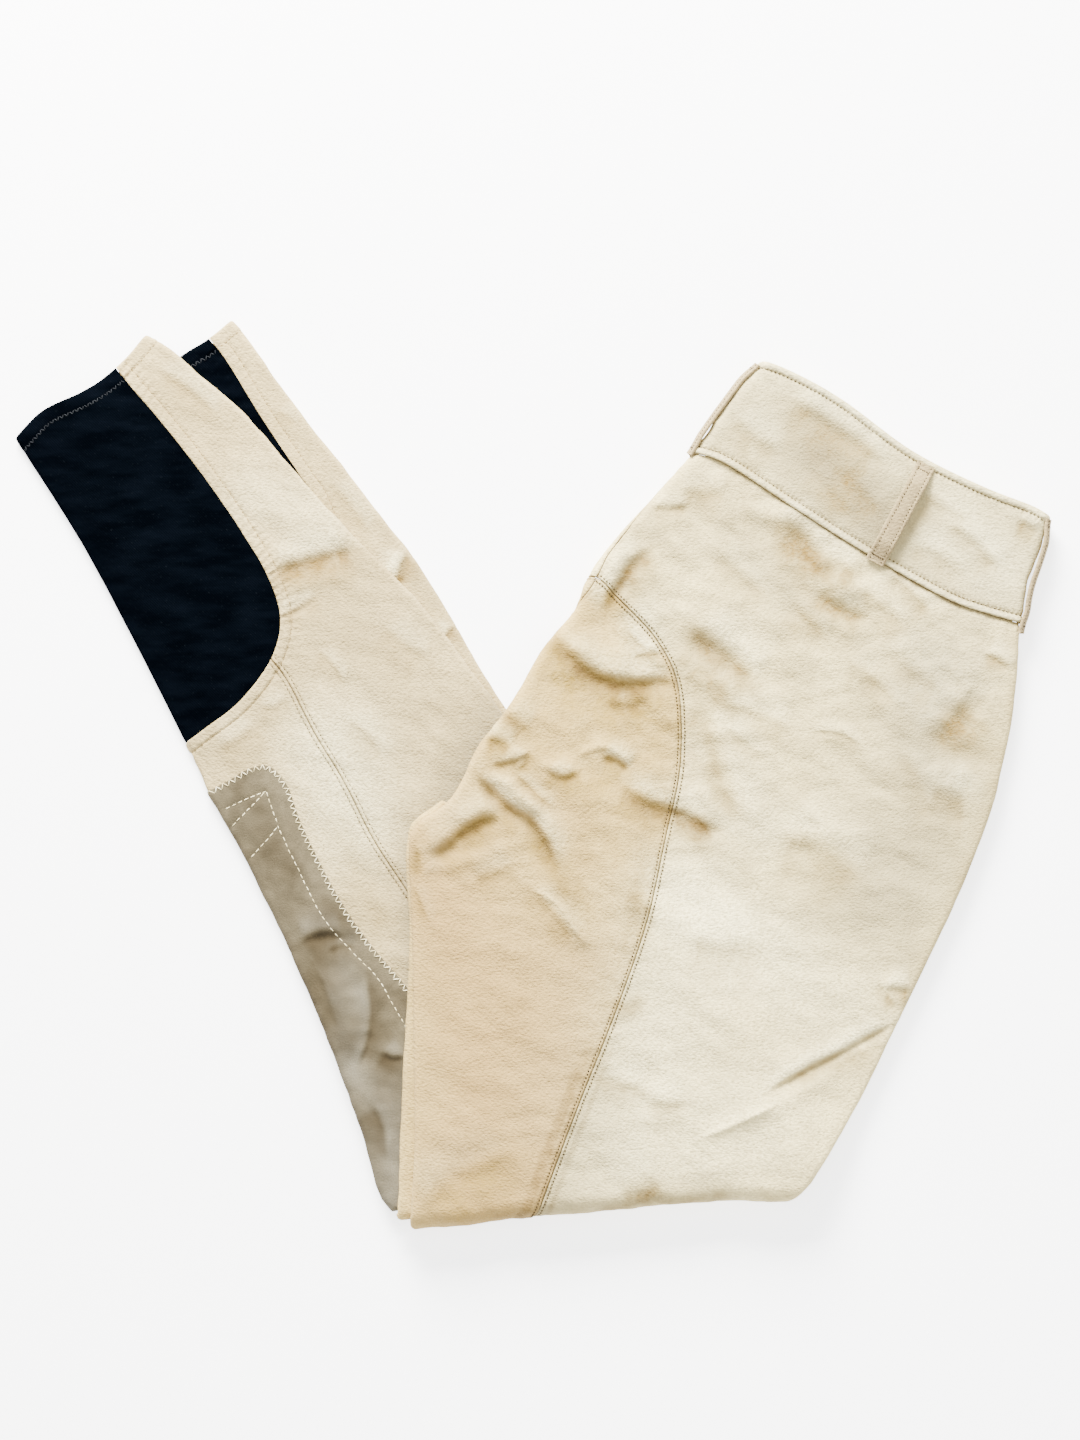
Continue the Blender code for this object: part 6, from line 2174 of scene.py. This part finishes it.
@dataclass
class BeltLoops:
    """The three belt loops, each sewn to the waistband at both ends. Sizes in mm.

    Attributes:
        thigh: The thigh whose waistband they are sewn to.
        width: Their width.
        wall: Their thickness.
        rise_share: The share of its length in which each end rises from the waistband.
        row_inset: From each side to its stitch row.
        rows: How many parts a loop is divided into along its length.
        lean: How far round a fold the middle of a loop lies, in radians.
        back: The ends of the loop on the open face.
        back_gap: How far its middle stands off, as side_gap and centre_gap do.
        side_span: Plan points beside the ends of the loop round the side fold.
        centre_span: The same for the loop round the centre back's fold.
        columns: The places of its points across its width, from -1 to 1.
    """

    thigh: Thigh
    width: float = 10.6
    wall: float = 1.6
    rise_share: float = 0.22
    row_inset: float = 2.1
    rows: int = 64
    lean: float = math.radians(80)
    back: Route = ((211.4, 167), (183.4, 114.4))
    back_gap: float = 4.7
    side_span: Route = ((277, 138), (262.4, 76))
    side_gap: float = 2.6
    centre_span: Route = ((121, 221), (83.5, 173))
    centre_gap: float = 1.7
    columns: tuple[float, ...] = (-1.0, -0.93, -0.8, -0.68, -0.6, -0.5, -0.3, 0.0, 0.3, 0.5, 0.6, 0.68, 0.8,
                                  0.93, 1.0)

    def build(self, stitcher: Stitcher) -> None:
        """Lay, dress and stitch the loops."""
        pile = self.thigh.pile
        ends = np.array(self.back)
        share = np.linspace(0.0, 1.0, self.rows + 1)[:, None]
        middle = ends[0] + (ends[1] - ends[0]) * share
        run = (ends[1] - ends[0]) / np.linalg.norm(ends[1] - ends[0])
        across = np.tile([-run[1], run[0]], (len(middle), 1))
        flat = np.full(len(middle), np.inf)
        self.strip("belt_loop_back", middle, across, flat, self.back_gap, stitcher)
        for node, edge, span, gap in (
            ("belt_loop_side", pile.side, self.side_span, self.side_gap),
            ("belt_loop_centre_back", pile.back, self.centre_span, self.centre_gap),
        ):
            self.strip(node, *self.edge_span(edge, span), gap, stitcher)

    def edge_span(self, edge: Line, span: Route) -> tuple[Array, Array, Array]:
        """Find a loop's middle line round a turned edge.

        Args:
            edge: The turned edge.
            span: Plan points beside the loop's ends.

        Returns:
            The points of the line, the way across it, and the radius of the turn.
        """
        cloth = self.thigh.cloth
        places = edge.nearest(np.array(span))[0]
        at = np.linspace(places[0], places[1], self.rows + 1)
        line = Line(edge.offset(cloth.radius(edge, edge.places) * (self.lean - 1)))
        middle = np.column_stack([np.interp(at, edge.places, line.points[:, axis]) for axis in (0, 1)])
        normal = np.column_stack([np.interp(at, edge.places, edge.normals[:, axis]) for axis in (0, 1)])
        return middle, normal, cloth.radius(edge, at)

    def stand(self, share: Array, gap: float) -> Array:
        """Give how far the loop's underside stands above the seat's level, along its length."""
        arch = eased(share / self.rise_share) * eased((1 - share) / self.rise_share)
        return self.thigh.band_rise + 0.3 + (gap - 0.3) * arch

    def relief(self, column: Array) -> Array:
        """Give the form across the loop: rounded sides and a dip at each stitch row."""
        inset = self.width / 2 * (1 - np.abs(column))
        return -0.6 * rounded(inset / 1.1) - 0.22 * bell(inset - self.row_inset, 0.5)

    def strip(self, node: str, middle: Array, across: Array, radius: Array, gap: float,
              stitcher: Stitcher) -> None:
        """Make one loop.

        Args:
            node: The plain solid that it stands for.
            middle: The pattern points of its middle line.
            across: The way across it at each of them.
            radius: The radius of the turn that it lies round there, or infinite.
            gap: The gap under its middle.
            stitcher: Sews its rows.
        """
        cloth = self.thigh.cloth
        share = np.linspace(0.0, 1.0, len(middle))
        stand = self.stand(share, gap)
        reach = self.width / 2 / (1 + (stand + self.wall) / radius)
        count = len(middle)
        plan = np.vstack([middle + across * (reach * column)[:, None] for column in self.columns])
        column = np.repeat(self.columns, count)
        stand = np.tile(stand, len(self.columns))
        faces = []
        for start in range(0, (len(self.columns) - 1) * count, count):
            faces += [[i, i + 1, i + count + 1, i + count] for i in range(start, start + count - 1)]
        outer = cloth.place(plan, -stand - self.wall - self.relief(column))
        inner = cloth.place(plan, -stand)
        a, b, c = outer[faces[0][:3]]
        if np.dot(np.cross(b - a, c - a), a - inner[faces[0][0]]) < 0:
            faces = [face[::-1] for face in faces]
        line = Line(middle)

        def upper(plan: Array) -> Array:
            return self.stand(line.nearest(plan)[0] / line.places[-1], gap) + self.wall - 0.2

        piece = Piece(node + "_cloth", node, "loop_cloth", Kind.LOOP, cloth, upper, wall=self.wall,
                      rests_on=("waistband_cloth",), held="stretched")
        obj = new_object(piece.name, *walled(outer, inner, faces), smooth_under=60.0)
        along = np.tile(share * np.linalg.norm(middle[-1] - middle[0]), len(self.columns))
        flat = np.column_stack([column * self.width / 2, along])
        write_marks(obj, np.tile(flat, (2, 1)), plain_marks(np.tile(flat, (2, 1))))
        piece.dress(obj)
        ridge = outer[(len(self.columns) // 2) * count:][:count]
        length = float(np.linalg.norm(np.diff(ridge, axis=0), axis=1).sum())
        piece.declared = dict(flat=(self.width * MM, length * MM), area=None)
        ends = self.rows_of(middle, across * reach[:, None], stitcher)
        stitcher.run(node + "_topstitch", piece, ends, Kind.SUNK_STITCH_SHADE, thick=0.6, seed=13)
        piece.declare()

    def rows_of(self, middle: Array, across: Array, stitcher: Stitcher) -> tuple[Array, Array]:
        """Space the stitches of the two rows along a loop and of the bar across each end.

        Args:
            middle: The pattern points of the loop's middle line.
            across: From each of them to the loop's edge.
            stitcher: Spaces the stitches.

        Returns:
            Where the stitches start and where they end.
        """
        column = 1 - self.row_inset / (self.width / 2)
        starts, ends = [], []
        for side in (-1.0, 1.0):
            row = Line(middle + across * (column * side))
            for start, end in zip(*stitcher.spots(row, pitch=1.9, length=1.05)):
                starts.append(start)
                ends.append(end)
        for at in (4, len(middle) - 5):
            bar = np.linspace(-column, column, 12)[:, None] * across[at] + middle[at]
            run = (middle[at + 1] - middle[at - 1]) / np.linalg.norm(middle[at + 1] - middle[at - 1])
            starts += list(bar - 0.6 * run)
            ends += list(bar + 0.6 * run)
        return np.array(starts), np.array(ends)


# ---------------------------------------------------------------- hidden layers


@dataclass
class InnerBands:
    """The three layers of waistband under the one that shows, whose edges lie at the waist. Sizes in mm.

    Attributes:
        thigh: The thigh whose waistband lies on them.
        deep: How far they go into the pile.
        wall: Their thickness.
        step: How finely they are meshed.
        layers: Each one's name, the height of its upper face, how far its edge stays behind the upper one's,
            how far it ends short of the pile's folds, and the radius of its own turned edges.
    """

    thigh: Thigh
    deep: float = 28.0
    wall: float = 1.9
    step: float = 2.4
    layers: tuple = (
        ("right_front_waistband", 7.7, 1.0, 4.0, 1.0),
        ("left_front_waistband", 5.2, 0.3, 0.0, 2.6),
        ("left_back_waistband", 2.3, 1.3, 4.0, 1.0),
    )

    def build(self) -> None:
        """Cut, lay and dress the three layers."""
        for name, height, behind, short, turn in self.layers:
            self.layer(name, height, behind, short, turn)

    def layer(self, name: str, height: float, behind: float, short: float, turn: float) -> None:
        """Make one layer.

        Args:
            name: Its name.
            height: The height of its upper face above the pile's base.
            behind: How far its edge stays behind the upper waistband's.
            short: How far it ends short of the pile's folds, or 0 where it is turned over them.
            turn: The radius of its turned edges.
        """
        pile, thigh = self.thigh.pile, self.thigh
        edge = Line(thigh.top_edge.offset(-behind))
        inner_end = Line(thigh.top_edge.offset(-self.deep)[::-1])
        cloth = Cloth(lambda plan: pile.thigh_base(plan) + height, [pile.side, pile.back], turn)
        ends = [edge, inner_end]
        if short:
            ends += [Line(fold.offset(-short)) for fold in (pile.side, pile.back)]
        rolls = np.vstack([edge.offset(-mark) for mark in ROLL_MARKS])

        def relief(plan: Array) -> Array:
            return 0.6 * thigh.rolled(-edge.outside(plan))

        pattern = drafted(cloth, [], ends, [rolls], self.step, low=(60.0, 60.0), high=(300.0, 240.0))
        piece = Piece(name, None, "hidden_cloth", Kind.BAND, cloth, relief, wall=self.wall)
        piece.sew(pattern, [], plain_marks)
        piece.declare()


@dataclass
class InnerLayers:
    """The layers inside the pile, which show only as a rim between the panels' edges. Sizes in mm.

    Attributes:
        thigh: The thigh that lies on them.
        clear: How far they keep below the thighs' cloth, so that its creases have room.
        open: How far they stay behind the waistband's edge.
        reach: How far into the pile they are pressed back for that.
        low: The height up to which they stay as they are, and the way above it in which they sink by clear.
        weld: How near two points are to be one, in metres.
    """

    thigh: Thigh
    clear: float = 3.5
    open: float = 12.0
    reach: float = 34.0
    low: Row = (7.0, 3.0)
    weld: float = 0.00001

    def build(self) -> None:
        """Dress a smooth copy of the plain solid in the darker twill, painted shade for the gaps it shows in.
        """
        source = bpy.data.objects["hidden_layers"]
        deselect_all()
        obj = source.copy()
        obj.data = source.data.copy()
        obj.name = "inner_layers"
        bpy.context.collection.objects.link(obj)
        bpy.context.view_layer.objects.active = obj
        obj.select_set(True)
        bpy.ops.object.mode_set(mode="EDIT")
        bpy.ops.mesh.select_all(action="SELECT")
        bpy.ops.mesh.remove_doubles(threshold=self.weld)
        bpy.ops.object.mode_set(mode="OBJECT")
        bpy.ops.object.shade_smooth_by_angle(angle=math.radians(60))
        deselect_all()
        for layer in list(obj.data.uv_layers):
            obj.data.uv_layers.remove(layer)
        points = np.array([tuple(vertex.co) for vertex in obj.data.vertices]) / MM
        start, way = self.low
        points[:, 2] -= self.clear * eased((points[:, 2] - start) / way)
        _, gap, normal = self.thigh.top_edge.nearest(points[:, :2])
        back = np.clip((gap + self.reach) / self.reach, 0.0, 1.3) * self.open
        points[:, :2] -= normal * back[:, None]
        obj.data.vertices.foreach_set("co", (points * MM).astype(np.float32).ravel())
        obj.data.update()
        write_marks(obj, points[:, :2], plain_marks(points[:, :2]))
        Piece(obj.name, "hidden_layers", "hidden_cloth", Kind.LAYER).dress(obj)


# ---------------------------------------------------------------- studio


@dataclass
class Studio:
    """The floor, the light and the camera.

    Attributes:
        centre: The point that the camera looks straight down at, in mm.
        framed: Width and height that it frames at the cloth's level, in mm.
        distance: Its height above the floor, in metres.
        level: Height of the cloth's level above the floor, in metres.
        sensor: Length of the sensor's longer side, in mm.
        lights: Each light's name, place, size, power and colour, as light takes them.
        air: Colour of the light from all around.
    """

    centre: Point = (2.7, 29.2)
    framed: Point = (583.2, 777.6)
    distance: float = 2.6
    level: float = 0.014
    sensor: float = 36.0
    lights: tuple = (
        ("key_light", (-0.45, 1.8, 1.0), 1.0, 430.0, (1.0, 0.99, 0.97)),
        ("fill_light", (1.4, -0.9, 1.6), 1.8, 35.0, (0.96, 0.98, 1.0)),
        ("top_light", (0.0, 0.1, 2.4), 2.0, 55.0, (1.0, 1.0, 1.0)),
    )
    air: Colour = (0.95, 0.97, 1.0)

    def build(self) -> None:
        """Set up the studio."""
        self.floor()
        self.camera()
        for name, place, size, power, colour in self.lights:
            self.light(name, place, size, power, colour)
        world = bpy.data.worlds.new("studio_air")
        world.use_nodes = True
        background = world.node_tree.nodes["Background"]
        background.inputs["Color"].default_value = (*self.air, 1.0)
        background.inputs["Strength"].default_value = 1.0
        bpy.context.scene.world = world

    def floor(self) -> None:
        """Lay the pale paper."""
        deselect_all()
        bpy.ops.mesh.primitive_plane_add(size=8.0, location=(0.0, 0.0, -0.0003))
        floor = bpy.context.object
        floor.name = "floor"
        bpy.ops.object.transform_apply(location=True, rotation=False, scale=False)
        Kind.PAPER.on(floor)

    def camera(self) -> None:
        """Hang the camera over the pile."""
        data = bpy.data.cameras.new("camera")
        data.sensor_width = data.sensor_height = self.sensor
        data.sensor_fit = "AUTO"
        data.lens = self.sensor * (self.distance - self.level) / (self.framed[1] * MM)
        camera = bpy.data.objects.new("camera", data)
        camera.location = (self.centre[0] * MM, self.centre[1] * MM, self.distance)
        bpy.context.collection.objects.link(camera)
        bpy.context.scene.camera = camera

    def light(self, name: str, place: tuple[float, float, float], size: float, power: float,
              colour: Colour) -> None:
        """Hang a soft square light that faces the pile.

        Args:
            name: Its name.
            place: Where it hangs, in metres.
            size: Length of its sides, in metres.
            power: Its power, in watts.
            colour: Its colour.
        """
        data = bpy.data.lights.new(name, "AREA")
        data.shape = "SQUARE"
        data.size = size
        data.energy = power
        data.color = colour
        light = bpy.data.objects.new(name, data)
        light.location = place
        light.rotation_euler = (-Vector(place)).to_track_quat("-Z", "Y").to_euler()
        bpy.context.collection.objects.link(light)


def main() -> None:
    """Build and dress the breeches in order, and set up the studio."""
    logging.basicConfig(level=logging.INFO, format="%(name)s: %(message)s")
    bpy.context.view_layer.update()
    pile = Pile()
    Studio().build()
    stitcher = Stitcher()
    thigh = Thigh(pile)
    InnerLayers(thigh).build()
    InnerBands(thigh).build()
    thigh.build(stitcher)
    FarThigh(pile).build()
    LeftLeg(pile).build(stitcher)
    RightLeg(pile).build(stitcher)
    BeltLoops(thigh).build(stitcher)


if __name__ == "__main__":
    main()
